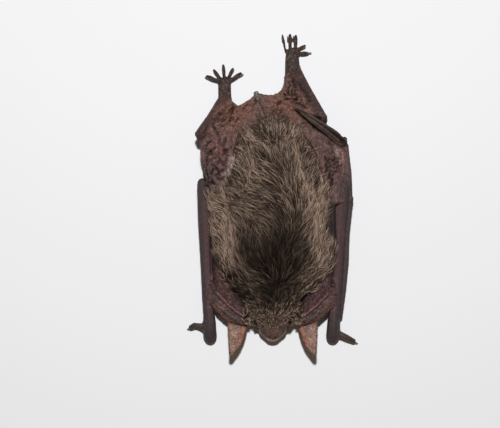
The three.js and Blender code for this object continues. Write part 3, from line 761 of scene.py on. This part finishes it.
# how the coat lies, and its markings, at places across and along the body in mm
# turn: degrees from straight back towards the tail, plus is to the left side. pale: 0 dark brown, 1 tan
combing = {
    "across": [-13, -10, -6, -2, 2, 5, 9, 13],
    "along": [-32, -29, -25, -21, -16, -11, -7, -2, 3, 9, 16],
    "turn": [
        [-40, -45, -50, -30, 20, 45, 45, 40],
        [-30, -45, -50, -20, 10, 45, 40, 30],
        [-30, -46, -54, -30, 12, 52, 42, 25],
        [-28, -54, -70, -74, 62, 66, 52, 25],
        [-12, -42, -52, -50, -20, 22, 58, 22],
        [-12, -28, 0, 8, 15, 34, 38, 8],
        [-35, -46, -20, -40, -30, 34, 32, 6],
        [-45, -70, -74, -78, -42, -4, 26, 18],
        [-40, -40, -66, -68, -36, 10, 28, 20],
        [-30, -40, -56, -48, -12, 12, 32, 15],
        [-40, -50, -55, -50, 30, 45, 30, 20],
    ],
    "pale": [
        [0.50, 0.45, 0.36, 0.42, 0.42, 0.38, 0.45, 0.50],
        [0.60, 0.70, 0.80, 0.72, 0.74, 0.86, 0.80, 0.60],
        [0.60, 0.55, 0.38, 0.13, 0.13, 0.38, 0.34, 0.60],
        [0.50, 0.26, 0.18, 0.04, 0.06, 0.07, 0.80, 0.40],
        [0.90, 0.30, 0.06, 0.00, 0.00, 0.00, 0.15, 0.90],
        [1.50, 0.75, 0.00, 0.00, 0.06, 0.02, 0.11, 1.50],
        [1.60, 0.48, 0.09, 0.27, 0.05, 0.19, 0.62, 1.60],
        [1.00, 0.12, 0.17, 0.22, 0.20, 0.32, 0.84, 1.50],
        [1.10, 0.46, 0.42, 0.31, 0.14, 0.52, 0.56, 0.85],
        [0.72, 0.30, 0.22, 0.21, 0.14, 0.40, 0.38, 0.42],
        [0.45, 0.36, 0.46, 0.26, 0.50, 0.58, 0.28, 0.24],
    ],
    "wander": 9, "ruffle": 9, "tangle": 36,  # degrees of unevenness, broad, fine and on the nape
    "longest": 5.0,  # mm, and by how much it shortens, from where to where along the body
    "shortening": [(0.9, 2, 16), (2.8, -18.0, -25.0), (1.2, -24.5, -28.5)],
    "paleStreak": [(-6.0, 13.8), (-3.2, 12.2), (-0.9, 10.6)],
}
# tufts on both sides of the head, given for the left: place and size in mm, added length and paleness,
# and the way they point
headTufts = [
    ((5.6, -28.4), 1.0, 1.2, 0.7, (0.1, -1.0)),  # over the root of the ear spear
    ((4.1, -29.6), 0.7, 0.5, 0.5, (0.1, -1.0)),  # cheek
    ((5.2, -29.4), 0.4, 1.9, -0.3, (0.2, -1.0)),  # long dark wisp behind the cheek
    ((3.6, -30.4), 0.35, 1.8, -0.3, (0.25, -1.0)),  # and before it
    ((1.2, -29.6), 0.9, 0.2, 0.1, (0.25, -1.0)),  # brow
]


def overBody(table, x, y):
    rows = np.array([np.interp(x, combing["across"], row) for row in table])
    place = np.interp(y, combing["along"], np.arange(len(rows)))
    low = np.clip(place.astype(int), 0, len(rows) - 2)
    share, every = place - low, np.arange(len(x))
    return rows[low, every] * (1 - share) + rows[low + 1, every] * share


def keepCoatFields(skin, co, facing, inside):
    x, y = co.T[:2]
    plan = combing
    flat = [Vector((px, py, 3.1)) for px, py in co[:, :2]]
    wander, ruffle, tangle = (np.array([noise.noise(p * size) for p in flat])
                              for size in (0.16, 0.42, 0.75))
    nape = np.exp(-(((x - 0.5) / 8.0) ** 2 + ((y + 12.5) / 6.5) ** 2) ** 1.3)
    nearEdge = ease(5.0, 0.3, inside)
    turn = overBody(plan["turn"], x, y) * (1 - 0.35 * nearEdge)
    turn = np.radians(turn + wander * plan["wander"] + ruffle * plan["ruffle"]
                      + tangle * nape * plan["tangle"])
    lie = np.column_stack([np.sin(turn), np.cos(turn), np.zeros(len(co))])
    belly = ease(0.1, -0.5, facing[:, 2])[:, None]
    lie = lie * (1 - belly) + np.array([0, 1, 0]) * belly
    lie -= facing * (lie * facing).sum(1)[:, None]
    lie /= np.linalg.norm(lie, axis=1)[:, None].clip(1e-6)

    length = plan["longest"]
    for less, start, end in plan["shortening"]:
        length = length - less * ease(start, end, y)
    length *= (1 - 0.3 * belly[:, 0]) * (1 - 0.25 * nearEdge) * (1 - 0.6 * ease(10.0, 17.0, y))
    length = np.maximum(length * (1 - 0.45 * ease(-29.6, -31.2, y)), 0.5)
    pale = overBody(plan["pale"], x, y)
    pale += (0.32 * wander + 0.42 * ruffle) * (0.25 + pale)
    pale += 0.9 * np.exp(-(gapTo(plan["paleStreak"], co, 2) / 0.45) ** 2)
    for (tuftX, tuftY), size, longer, paler, (outward, back) in headTufts:
        near = np.exp(-((np.abs(x) - tuftX) ** 2 + (y - tuftY) ** 2) / size ** 2)
        length += longer * near
        pale += paler * near
        way = np.column_stack([np.sign(x) * outward, np.full(len(x), back), np.zeros(len(x))])
        lie = lie * (1 - near[:, None]) + way * near[:, None]
    lie -= facing * (lie * facing).sum(1)[:, None]
    lie /= np.linalg.norm(lie, axis=1)[:, None].clip(1e-6)

    keep(skin, "coatLength", "FLOAT", length)
    keep(skin, "paleness", "FLOAT", np.clip(pale, 0.01, 1.6))
    keep(skin, "lie", "FLOAT_VECTOR", lie)


# the coat, hair by hair: every part of it is made by one node tree, with its own numbers in place of these
coatInputs = {"Hairs per mm2": 50.0, "Locks per mm2": 6.0, "Length share": 1.0, "Stand": 2.0,
              "Root radius": 0.046, "Tip radius": 0.012, "Clumping": 0.42, "Spring": 0.0, "Waviness": 0.05,
              "Rings": 5}


def coatTree():
    tree = bpy.data.node_groups.new("combedCoat", "GeometryNodeTree")
    face = tree.interface
    face.new_socket("Geometry", in_out="INPUT", socket_type="NodeSocketGeometry")
    for name, value in (*coatInputs.items(), ("Seed", 1)):
        kind = "NodeSocketInt" if isinstance(value, int) else "NodeSocketFloat"
        face.new_socket(name, in_out="INPUT", socket_type=kind).default_value = value
    face.new_socket("Hair", in_out="INPUT", socket_type="NodeSocketMaterial")
    face.new_socket("Geometry", in_out="OUTPUT", socket_type="NodeSocketGeometry")
    add = partial(addNode, tree)
    given = add("NodeGroupInput").outputs
    position = add("GeometryNodeInputPosition")

    # the furred part of the skin, and what it says straight below a place
    combed = add("GeometryNodeInputNamedAttribute", {"Name": "combed"}, data_type="FLOAT")
    wanted = add("ShaderNodeMath", {0: combed, 1: 0.5}, operation="GREATER_THAN")
    furred = add("GeometryNodeSeparateGeometry", {"Geometry": given["Geometry"], "Selection": wanted},
                 domain="FACE")
    below = {}
    for name, kind in (("lie", "FLOAT_VECTOR"), ("facing", "FLOAT_VECTOR"), ("paleness", "FLOAT")):
        value = add("GeometryNodeInputNamedAttribute", {"Name": name}, data_type=kind)
        below[name] = add("GeometryNodeSampleNearestSurface", {"Mesh": furred, "Value": value},
                          data_type=kind)

    # locks are sown thinly, the same for all pieces, and a hair leans towards the lock nearest its root
    locks = add("GeometryNodeDistributePointsOnFaces",
                {"Mesh": furred, "Density": given["Locks per mm2"], "Seed": 70}, distribute_method="RANDOM")
    share = add("GeometryNodeInputNamedAttribute", {"Name": "sown"}, data_type="FLOAT")
    density = add("ShaderNodeMath", {0: given["Hairs per mm2"], 1: share}, operation="MULTIPLY")
    hairs = add("GeometryNodeDistributePointsOnFaces",
                {"Mesh": furred, "Density": density, "Seed": given["Seed"]}, distribute_method="RANDOM")
    nearest = add("GeometryNodeSampleNearest", {"Geometry": locks}, domain="POINT")
    lockAt = add("GeometryNodeSampleIndex", {"Geometry": locks, "Index": nearest, "Value": position},
                 data_type="FLOAT_VECTOR", domain="POINT")
    toLock = add("ShaderNodeVectorMath", {0: lockAt, 1: position}, operation="SUBTRACT")
    for name, value in (("rootAt", position), ("toLock", toLock)):
        hairs = add("GeometryNodeStoreNamedAttribute", {"Geometry": hairs, "Name": name, "Value": value},
                    data_type="FLOAT_VECTOR", domain="POINT")
    own = {}
    for offset, (name, low, high, inLocks) in enumerate((
            ("ownTurn", -0.2, 0.2, False), ("ownLength", 0.65, 1.15, False), ("ownStand", 0.45, 1.1, False),
            ("bold", 0.0, 1.0, False), ("lockTurn", -0.26, 0.26, True), ("lockStand", 0.5, 1.15, True),
            ("lockShade", 0.0, 1.0, True), ("ownBend", -1.0, 1.0, False)), 1):
        seed = add("ShaderNodeMath", {0: given["Seed"], 1: offset}, operation="ADD")
        value = add("FunctionNodeRandomValue", {"Min": low, "Max": high, "Seed": seed}, data_type="FLOAT")
        if inLocks:
            value = add("FunctionNodeRandomValue", {"Min": low, "Max": high, "ID": nearest, "Seed": offset},
                        data_type="FLOAT")
        if name == "bold":  # few hairs are bold, most are fine
            value = add("ShaderNodeMath", {0: value, 1: 6.0}, operation="POWER")
        hairs = add("GeometryNodeStoreNamedAttribute", {"Geometry": hairs, "Name": name, "Value": value},
                    data_type="FLOAT", domain="POINT")
        own[name] = add("GeometryNodeInputNamedAttribute", {"Name": name}, data_type="FLOAT")
    rootAt, toLock = (add("GeometryNodeInputNamedAttribute", {"Name": name}, data_type="FLOAT_VECTOR")
                      for name in ("rootAt", "toLock"))
    coatLength, along = (add("GeometryNodeInputNamedAttribute", {"Name": name}, data_type="FLOAT")
                         for name in ("coatLength", "along"))

    line = add("GeometryNodeCurvePrimitiveLine", {"End": (0, 0, 0.01)})
    line = add("GeometryNodeResampleCurve", {"Curve": line, "Count": given["Rings"]})
    hairs = add("GeometryNodeInstanceOnPoints", {"Points": hairs, "Instance": line})
    hairs = add("GeometryNodeRealizeInstances", {"Geometry": hairs})
    hairs = add("GeometryNodeStoreNamedAttribute",
                {"Geometry": hairs, "Name": "along", "Value": add("GeometryNodeSplineParameter")},
                data_type="FLOAT", domain="POINT")
    hairs = add("GeometryNodeSetPosition", {"Geometry": hairs, "Position": rootAt})

    # all the points of a hair start at its root: each round leaves one behind and combs the rest on
    steps = add("ShaderNodeMath", {0: given["Rings"], 1: 1.0}, operation="SUBTRACT")
    finish = add("GeometryNodeRepeatOutput")
    start = add("GeometryNodeRepeatInput")
    start.pair_with_output(finish)
    tree.links.new(steps.outputs[0], start.inputs["Iterations"])
    tree.links.new(hairs.outputs[0], start.inputs["Geometry"])
    turnSoFar = add("ShaderNodeMath", {0: start.outputs["Iteration"], 1: 0.5}, operation="ADD")
    ring = add("ShaderNodeMath", {0: along, 1: steps}, operation="MULTIPLY")
    goesOn = add("ShaderNodeMath", {0: ring, 1: turnSoFar}, operation="GREATER_THAN")
    crosswise = add("ShaderNodeVectorMath", {0: below["facing"], 1: below["lie"]},
                    operation="CROSS_PRODUCT")
    leaning = add("ShaderNodeMath", {0: own["ownTurn"], 1: own["lockTurn"]}, operation="ADD")
    bending = add("ShaderNodeMath", {0: start.outputs["Iteration"], 1: 0.14, 2: -0.14},
                  operation="MULTIPLY_ADD")
    turn = add("ShaderNodeMath", {0: own["ownBend"], 1: bending, 2: leaning}, operation="MULTIPLY_ADD")
    length = add("ShaderNodeMath", {0: coatLength, 1: given["Length share"]}, operation="MULTIPLY")
    length = add("ShaderNodeMath", {0: length, 1: own["ownLength"]}, operation="MULTIPLY")
    stride = add("ShaderNodeMath", {0: length, 1: steps}, operation="DIVIDE")
    ahead = position
    for way, operation in ((below["lie"], "COSINE"), (crosswise, "SINE")):
        part = add("ShaderNodeMath", {0: turn}, operation=operation)
        part = add("ShaderNodeMath", {0: part, 1: stride}, operation="MULTIPLY")
        part = add("ShaderNodeVectorMath", {0: way, "Scale": part}, operation="SCALE")
        ahead = add("ShaderNodeVectorMath", {0: ahead, 1: part}, operation="ADD")
    gathering = add("ShaderNodeMath", {0: given["Clumping"], 1: steps}, operation="DIVIDE")
    gather = add("ShaderNodeVectorMath", {0: toLock, "Scale": gathering}, operation="SCALE")
    ahead = add("ShaderNodeVectorMath", {0: ahead, 1: gather}, operation="ADD")
    landing = add("GeometryNodeSampleNearestSurface",
                  {"Mesh": furred, "Value": position, "Sample Position": ahead}, data_type="FLOAT_VECTOR")
    landing = add("ShaderNodeMix", {0: given["Spring"], 4: landing, 5: ahead}, data_type="VECTOR")
    moved = add("GeometryNodeSetPosition", {"Geometry": start.outputs["Geometry"], "Selection": goesOn,
                                            "Position": landing.outputs[1]})
    tree.links.new(moved.outputs[0], finish.inputs["Geometry"])
    hairs = add("GeometryNodeStoreNamedAttribute",
                {"Geometry": finish.outputs["Geometry"], "Name": "paleness", "Value": below["paleness"]},
                data_type="FLOAT", domain="POINT")

    # then each hair rises off the skin to the top of the coat, the bold ones highest, with a slight wave
    bow = add("ShaderNodeMath", {0: along, 1: 0.8}, operation="POWER")
    bow = add("ShaderNodeMath", {0: bow, 1: 1.75}, operation="MULTIPLY")
    height = add("ShaderNodeMath", {0: bow}, operation="SINE")
    onTop = add("ShaderNodeMath", {0: own["bold"], 1: 0.6, 2: 0.85}, operation="MULTIPLY_ADD")
    for factor in (given["Stand"], own["ownStand"], own["lockStand"], onTop, coatLength, 0.2):
        height = add("ShaderNodeMath", {0: height, 1: factor}, operation="MULTIPLY")
    height = add("ShaderNodeMath", {0: height, 1: 0.06}, operation="SUBTRACT")
    rise = add("ShaderNodeVectorMath", {0: below["facing"], "Scale": height}, operation="SCALE")
    phase = add("ShaderNodeMath", {0: own["lockShade"], 1: 40.0}, operation="MULTIPLY")
    sway = add("ShaderNodeMath", {0: along, 1: 5.0, 2: phase}, operation="MULTIPLY_ADD")
    sway = add("ShaderNodeMath", {0: sway}, operation="SINE")
    for factor in (given["Waviness"], along, coatLength):
        sway = add("ShaderNodeMath", {0: sway, 1: factor}, operation="MULTIPLY")
    wave = add("ShaderNodeVectorMath", {0: crosswise, "Scale": sway}, operation="SCALE")
    shift = add("ShaderNodeVectorMath", {0: rise, 1: wave}, operation="ADD")
    hairs = add("GeometryNodeSetPosition", {"Geometry": hairs, "Offset": shift})

    # a thin three-sided strand round each line, thicker on bold hairs and finer on short ones
    taper = add("ShaderNodeMath", {0: along, 1: 2.2}, operation="POWER")
    taper = add("ShaderNodeMath", {0: 1.0, 1: taper}, operation="SUBTRACT")
    boldness = add("ShaderNodeMath", {0: own["bold"], 1: 1.0, 2: 0.75}, operation="MULTIPLY_ADD")
    fineness = add("ShaderNodeMapRange", {"Value": coatLength, "From Min": 0.4, "From Max": 2.0,
                                          "To Min": 0.5})
    width = add("ShaderNodeMath", {0: boldness, 1: fineness}, operation="MULTIPLY")
    width = add("ShaderNodeMath", {0: given["Root radius"], 1: width}, operation="MULTIPLY")
    width = add("ShaderNodeMath", {0: width, 1: taper, 2: given["Tip radius"]}, operation="MULTIPLY_ADD")
    around = add("GeometryNodeCurvePrimitiveCircle", {"Resolution": 3, "Radius": 1.0})
    around = add("GeometryNodeStoreNamedAttribute",
                 {"Geometry": around, "Name": "around", "Value": add("GeometryNodeSplineParameter")},
                 data_type="FLOAT", domain="POINT")
    strands = add("GeometryNodeCurveToMesh", {"Curve": hairs, "Profile Curve": around, "Scale": width,
                                              "Fill Caps": True})
    strands = add("GeometryNodeSetShadeSmooth", {"Geometry": strands})
    strands = add("GeometryNodeRealizeInstances", {"Geometry": strands})
    strands = add("GeometryNodeSetMaterial", {"Geometry": strands, "Material": given["Hair"]})
    add("NodeGroupOutput", {"Geometry": strands})
    return tree


def socketId(tree, name):
    return next(s.identifier for s in tree.interface.items_tree
                if s.item_type == "SOCKET" and s.in_out == "INPUT" and s.name == name)


bakePatch = 0.003  # width of one hair's patch on the unwrap


def layUnwrap(data):  # each hair is a small patch at its root's place, round and along the body
    def read(name, kind, width):
        layer = data.attributes[name].data
        values = np.empty(len(layer) * width, np.float32)
        layer.foreach_get(kind, values)
        return values.reshape(-1, width).astype(float)

    root = read("rootAt", "vector", 3)
    around, along = read("around", "value", 1)[:, 0], read("along", "value", 1)[:, 0]
    place = np.column_stack([np.arctan2(root[:, 0], root[:, 2] - 3.0), root[:, 1]])  # seam under the belly
    place = (place - place.min(0)) / (place.max(0) - place.min(0))
    spot = 0.02 + 0.95 * place + bakePatch * np.column_stack([around, along])
    corners = np.empty(len(data.loops), np.int32)
    data.loops.foreach_get("vertex_index", corners)
    layer = data.uv_layers.new(name="OFBake")
    layer.data.foreach_set("uv", spot[corners].astype(np.float32).ravel())
    used = ("along", "paleness", "bold", "lockShade", "position", "OFBake")
    for name in [a.name for a in data.attributes if not a.is_internal and a.name not in used]:
        if not data.attributes[name].is_required:
            data.attributes.remove(data.attributes[name])


# where each part of the coat is sown: from where to where along the body and on which side, under the belly
# or not, on bare skin or in the fur. Then its material, and what its hairs are like
coatPieces = {
    "coat_rump": {"span": (8.5, 30.0)},
    "coat_loin_right": {"span": (-1.0, 8.5), "side": -1},
    "coat_loin_left": {"span": (-1.0, 8.5), "side": 1},
    "coat_back_right": {"span": (-10.5, -1.0), "side": -1},
    "coat_back_left": {"span": (-10.5, -1.0), "side": 1},
    "coat_shoulder_right": {"span": (-21.0, -10.5), "side": -1},
    "coat_shoulder_left": {"span": (-21.0, -10.5), "side": 1},
    "coat_head": {"span": (-40.0, -21.0), "Root radius": 0.043, "Spring": 0.3, "Clumping": 0.4,
                  "Rings": 4},
    "coat_belly": {"span": (-40.0, 30.0), "belly": True, "Hairs per mm2": 4.0, "Stand": 1.2,
                   "Root radius": 0.1},
    "web_fuzz": {"span": (-2.0, 30.0), "bare": True, "hair": "rustFuzz", "Hairs per mm2": 8.0,
                 "Length share": 0.3, "Stand": 0.8, "Root radius": 0.024, "Clumping": 0.2,
                 "Waviness": 0.01, "Rings": 4},
}
# where the webs are downy: place and size in mm, and how thick the down is there
down = [((-8.5, 17.0), 5.0, 1.0), ((3.0, 17.5), 3.6, 3.0), ((8.0, 16.0), 3.5, 1.0),
        ((-2.0, 17.5), 3.4, 2.6)]


def growCoat(skin, tree, hairMaterials):
    count = len(skin.data.vertices)
    co, facing = np.empty(count * 3), np.empty(count * 3, np.float32)
    furry, folds, crease = (np.empty(count, np.float32) for _ in range(3))
    skin.data.vertices.foreach_get("co", co)
    skin.data.attributes["facing"].data.foreach_get("vector", facing)
    for name, values in (("furShare", furry), ("folds", folds), ("crease", crease)):
        skin.data.attributes[name].data.foreach_get("value", values)
    x, y = co.reshape(-1, 3).T[:2]
    belly = facing.reshape(-1, 3)[:, 2] < -0.45
    downy = 0.06 + sum(much * np.exp(-((x - atX) ** 2 + (y - atY) ** 2) / size ** 2)
                       for (atX, atY), size, much in down)
    for index, (name, own) in enumerate(coatPieces.items()):
        plan = {**coatInputs, "side": 0, "belly": False, "bare": False, "hair": "batFur", **own,
                "Seed": 20 + index}
        low, high = plan["span"]
        here = (y >= low) & (y < high) & (belly == plan["belly"])
        if plan["side"]:
            here &= (x * plan["side"] >= 0)
        if plan["bare"]:
            share = ease(0.08, 0.2, folds) * ease(-0.3, 0.1, crease) * (1 - furry) * downy
        else:
            share = (furry > 0.12) * np.clip(furry * 1.3, 0, 1) * (1 - 0.55 * ease(-30.0, -32.0, y))
        coat = skin.copy()
        coat.data = skin.data.copy()
        coat.name = name
        bpy.context.scene.collection.objects.link(coat)
        keep(coat, "sown", "FLOAT", here * share)
        comb = coat.modifiers.new("comb", "NODES")
        comb.node_group = tree
        for socket in (*coatInputs, "Seed"):
            comb[socketId(tree, socket)] = plan[socket]
        comb[socketId(tree, "Hair")] = hairMaterials[plan["hair"]]
        evaluated(coat)
        layUnwrap(coat.data)
        finishPiece(coat)


# eyes and claws

def buildEyes(material):
    for side in sides:
        low, high = (np.array(corner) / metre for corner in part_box(f"{side}_eye"))
        mesh = bmesh.new()
        bmesh.ops.create_uvsphere(mesh, u_segments=28, v_segments=18, radius=(high - low).max() / 2)
        bmesh.ops.translate(mesh, verts=mesh.verts, vec=(low + high) / 2)
        eye = toObject(mesh, f"eye_{side}")
        for polygon in eye.data.polygons:
            polygon.use_smooth = True
        finishPiece(eye, [f"{side}_eye"], material)


def buildClaws(material):
    for side in sides:
        for group, names in ((f"foot_claws_{side}", [f"{side}_claw_{i}" for i in range(1, 6)]),
                             (f"thumb_claw_{side}", [f"{side}_thumb_claw"])):
            mesh = bmesh.new()
            for name in names:
                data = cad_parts[name].data
                co = np.array([v.co for v in data.vertices]) / metre
                low, high = co.min(0), co.max(0)
                root = co[co[:, 2] > high[2] - 0.35].mean(0)
                tip = co[co[:, 2] < low[2] + 0.12].mean(0)
                out = tip - root
                out[2] = 0
                out /= np.linalg.norm(out)
                back = root - out * 0.35 + (0, 0, 0.05)
                knee = root + out * 0.3 + (0, 0, 0.12)
                bend = tip + (0, 0, 0.45)
                addRod(mesh, [back, knee, bend, tip + (0, 0, 0.03)], [0.16, 0.15, 0.1, 0.03],
                       [0.26, 0.24, 0.15, 0.03], ringCount=12, sideCount=10)
            claws = toObject(mesh, group)
            for polygon in claws.data.polygons:
                polygon.use_smooth = True
            finishPiece(claws, names, material)


# materials

def newMaterial(name):
    material = bpy.data.materials.new(name)
    material.use_nodes = True
    tree = material.node_tree
    return material, tree, tree.nodes["Principled BSDF"]


def wingSkin():  # bare bat skin: thin, leathery and finely puckered, blotched with pink, with a dull sheen
    material, tree, shader = newMaterial("wingSkin")
    shader.inputs["Roughness"].default_value = 0.6
    shader.inputs["Specular IOR Level"].default_value = 0.24
    add = partial(addNode, tree)
    place = add("ShaderNodeTexCoord").outputs["Object"]
    tint = add("ShaderNodeAttribute", attribute_name="tint").outputs["Color"]
    crease, folds, mottle = (add("ShaderNodeAttribute", attribute_name=name).outputs["Fac"]
                             for name in ("crease", "folds", "mottle"))
    # painted shade and painted light: folds, slits and ribs are darker in their depths and lighter on their
    # crests
    shade = add("ShaderNodeMapRange", {"Value": crease, "From Min": -0.8, "From Max": 0.4, "To Min": 0.14,
                                       "To Max": 1.4})
    # blotches about 1 mm and 0.35 mm across
    for perMetre, low, high in ((800.0, 0.7, 1.3), (2600.0, 0.4, 1.75)):
        speckle = add("ShaderNodeTexNoise", {"Vector": place, "Scale": perMetre, "Detail": 3.0,
                                             "Roughness": 0.6})
        blotch = add("ShaderNodeMapRange", {"Value": speckle, "From Min": 0.34, "From Max": 0.66,
                                            "To Min": low - 1, "To Max": high - 1})
        blotch = add("ShaderNodeMath", {0: blotch, 1: mottle, 2: 1.0}, operation="MULTIPLY_ADD")
        shade = add("ShaderNodeMath", {0: shade, 1: blotch}, operation="MULTIPLY")
    dappled = add("ShaderNodeVectorMath", {0: tint, "Scale": shade}, operation="SCALE")
    rosy = add("ShaderNodeTexNoise", {"Vector": place, "Scale": 1300.0, "Detail": 3.0})
    blush = add("ShaderNodeMapRange", {"Value": rosy, "From Min": 0.52, "From Max": 0.72, "To Min": 0.0,
                                       "To Max": 0.55})
    blush = add("ShaderNodeMath", {0: blush, 1: mottle}, operation="MULTIPLY")
    final = add("ShaderNodeMix", {0: blush, 6: dappled, 7: colour("#8a675b")}, data_type="RGBA")
    tree.links.new(final.outputs[2], shader.inputs["Base Color"])
    grain = add("ShaderNodeTexVoronoi", {"Vector": place, "Scale": 2600.0})  # pores 0.4 mm apart
    pucker = add("ShaderNodeTexNoise", {"Vector": place, "Scale": 3200.0, "Detail": 3.0})
    relief = add("ShaderNodeMath", {0: grain, 1: pucker}, operation="ADD")
    depth = add("ShaderNodeMapRange", {"Value": folds, "From Max": 0.25, "To Min": 0.15, "To Max": 1.0})
    bump = add("ShaderNodeBump", {"Height": relief, "Strength": depth, "Distance": 0.00018})
    tree.links.new(bump.outputs[0], shader.inputs["Normal"])
    return material


hairColours = {  # root, then the middle and the tip of the darkest and of the tannest hairs
    "batFur": ("#0f0a07", "#2a1e17", "#17110d", "#8b7565", "#221811", "#ebcdb6"),
    "rustFuzz": ("#3d2c25", "#513c33", "#664b3f", "#946f5d", "#7d5b4a", "#bd967e"),
}


def batHair(name):  # dark-rooted hair with tan tips, matt with a slight silk
    material, tree, shader = newMaterial(name)
    shader.inputs["Roughness"].default_value = 0.5
    shader.inputs["Specular IOR Level"].default_value = 0.16
    add = partial(addNode, tree)
    darkRoot, tanRoot, darkMiddle, tanMiddle, darkTip, tanTip = map(colour, hairColours[name])
    paleness, lockShade, bold, along = (add("ShaderNodeAttribute", attribute_name=field).outputs["Fac"]
                                        for field in ("paleness", "lockShade", "bold", "along"))
    # how tan the hair is: by its place on the body, then by its lock and by itself
    lock = add("ShaderNodeMapRange", {"Value": lockShade, "To Min": 0.42, "To Max": 1.45})
    odd = add("ShaderNodeMapRange", {"Value": bold, "To Min": 0.18, "To Max": 3.6})
    tan = add("ShaderNodeMath", {0: lock, 1: odd}, operation="MULTIPLY")
    brown = add("ShaderNodeMath", {0: bold, 1: 0.07}, operation="MULTIPLY")
    tan = add("ShaderNodeMath", {0: tan, 1: paleness, 2: brown}, operation="MULTIPLY_ADD", use_clamp=True)
    rising = add("ShaderNodeMapRange", {"Value": along, "From Min": 0.15, "From Max": 0.55})
    tipping = add("ShaderNodeMapRange", {"Value": along, "From Min": 0.5, "From Max": 0.95})
    root = add("ShaderNodeMix", {0: tan, 6: darkRoot, 7: tanRoot}, data_type="RGBA")
    middle = add("ShaderNodeMix", {0: tan, 6: darkMiddle, 7: tanMiddle}, data_type="RGBA")
    tip = add("ShaderNodeMix", {0: tan, 6: darkTip, 7: tanTip}, data_type="RGBA")
    lower = add("ShaderNodeMix", {0: rising, 6: root, 7: middle}, data_type="RGBA")
    final = add("ShaderNodeMix", {0: tipping, 6: lower, 7: tip}, data_type="RGBA")
    tree.links.new(final.outputs[2], shader.inputs["Base Color"])
    return material


def clawHorn():  # tan keratin, smooth, streaked darker and paler
    material, tree, shader = newMaterial("clawHorn")
    shader.inputs["Roughness"].default_value = 0.3
    place = addNode(tree, "ShaderNodeTexCoord").outputs["Object"]
    streak = addNode(tree, "ShaderNodeTexNoise", {"Vector": place, "Scale": 1500.0, "Detail": 2.0})
    tint = addNode(tree, "ShaderNodeMix", {0: streak, 6: colour("#4f3a2b"), 7: colour("#96765a")},
                   data_type="RGBA")
    tree.links.new(tint.outputs[2], shader.inputs["Base Color"])
    return material


def wetEye():  # black and mirror-wet
    material, tree, shader = newMaterial("wetEye")
    shader.inputs["Roughness"].default_value = 0.06
    shader.inputs["Coat Weight"].default_value = 0.6
    place = addNode(tree, "ShaderNodeTexCoord").outputs["Object"]
    depth = addNode(tree, "ShaderNodeTexNoise", {"Vector": place, "Scale": 700.0})
    tint = addNode(tree, "ShaderNodeMix", {0: depth, 6: colour("#050404"), 7: colour("#160e0b")},
                   data_type="RGBA")
    tree.links.new(tint.outputs[2], shader.inputs["Base Color"])
    return material


# put it together

setStage()
skin = buildSkin()
growCoat(skin, coatTree(), {name: batHair(name) for name in hairColours})
finishPiece(skin, fleshNodes, wingSkin())
buildEyes(wetEye())
buildClaws(clawHorn())
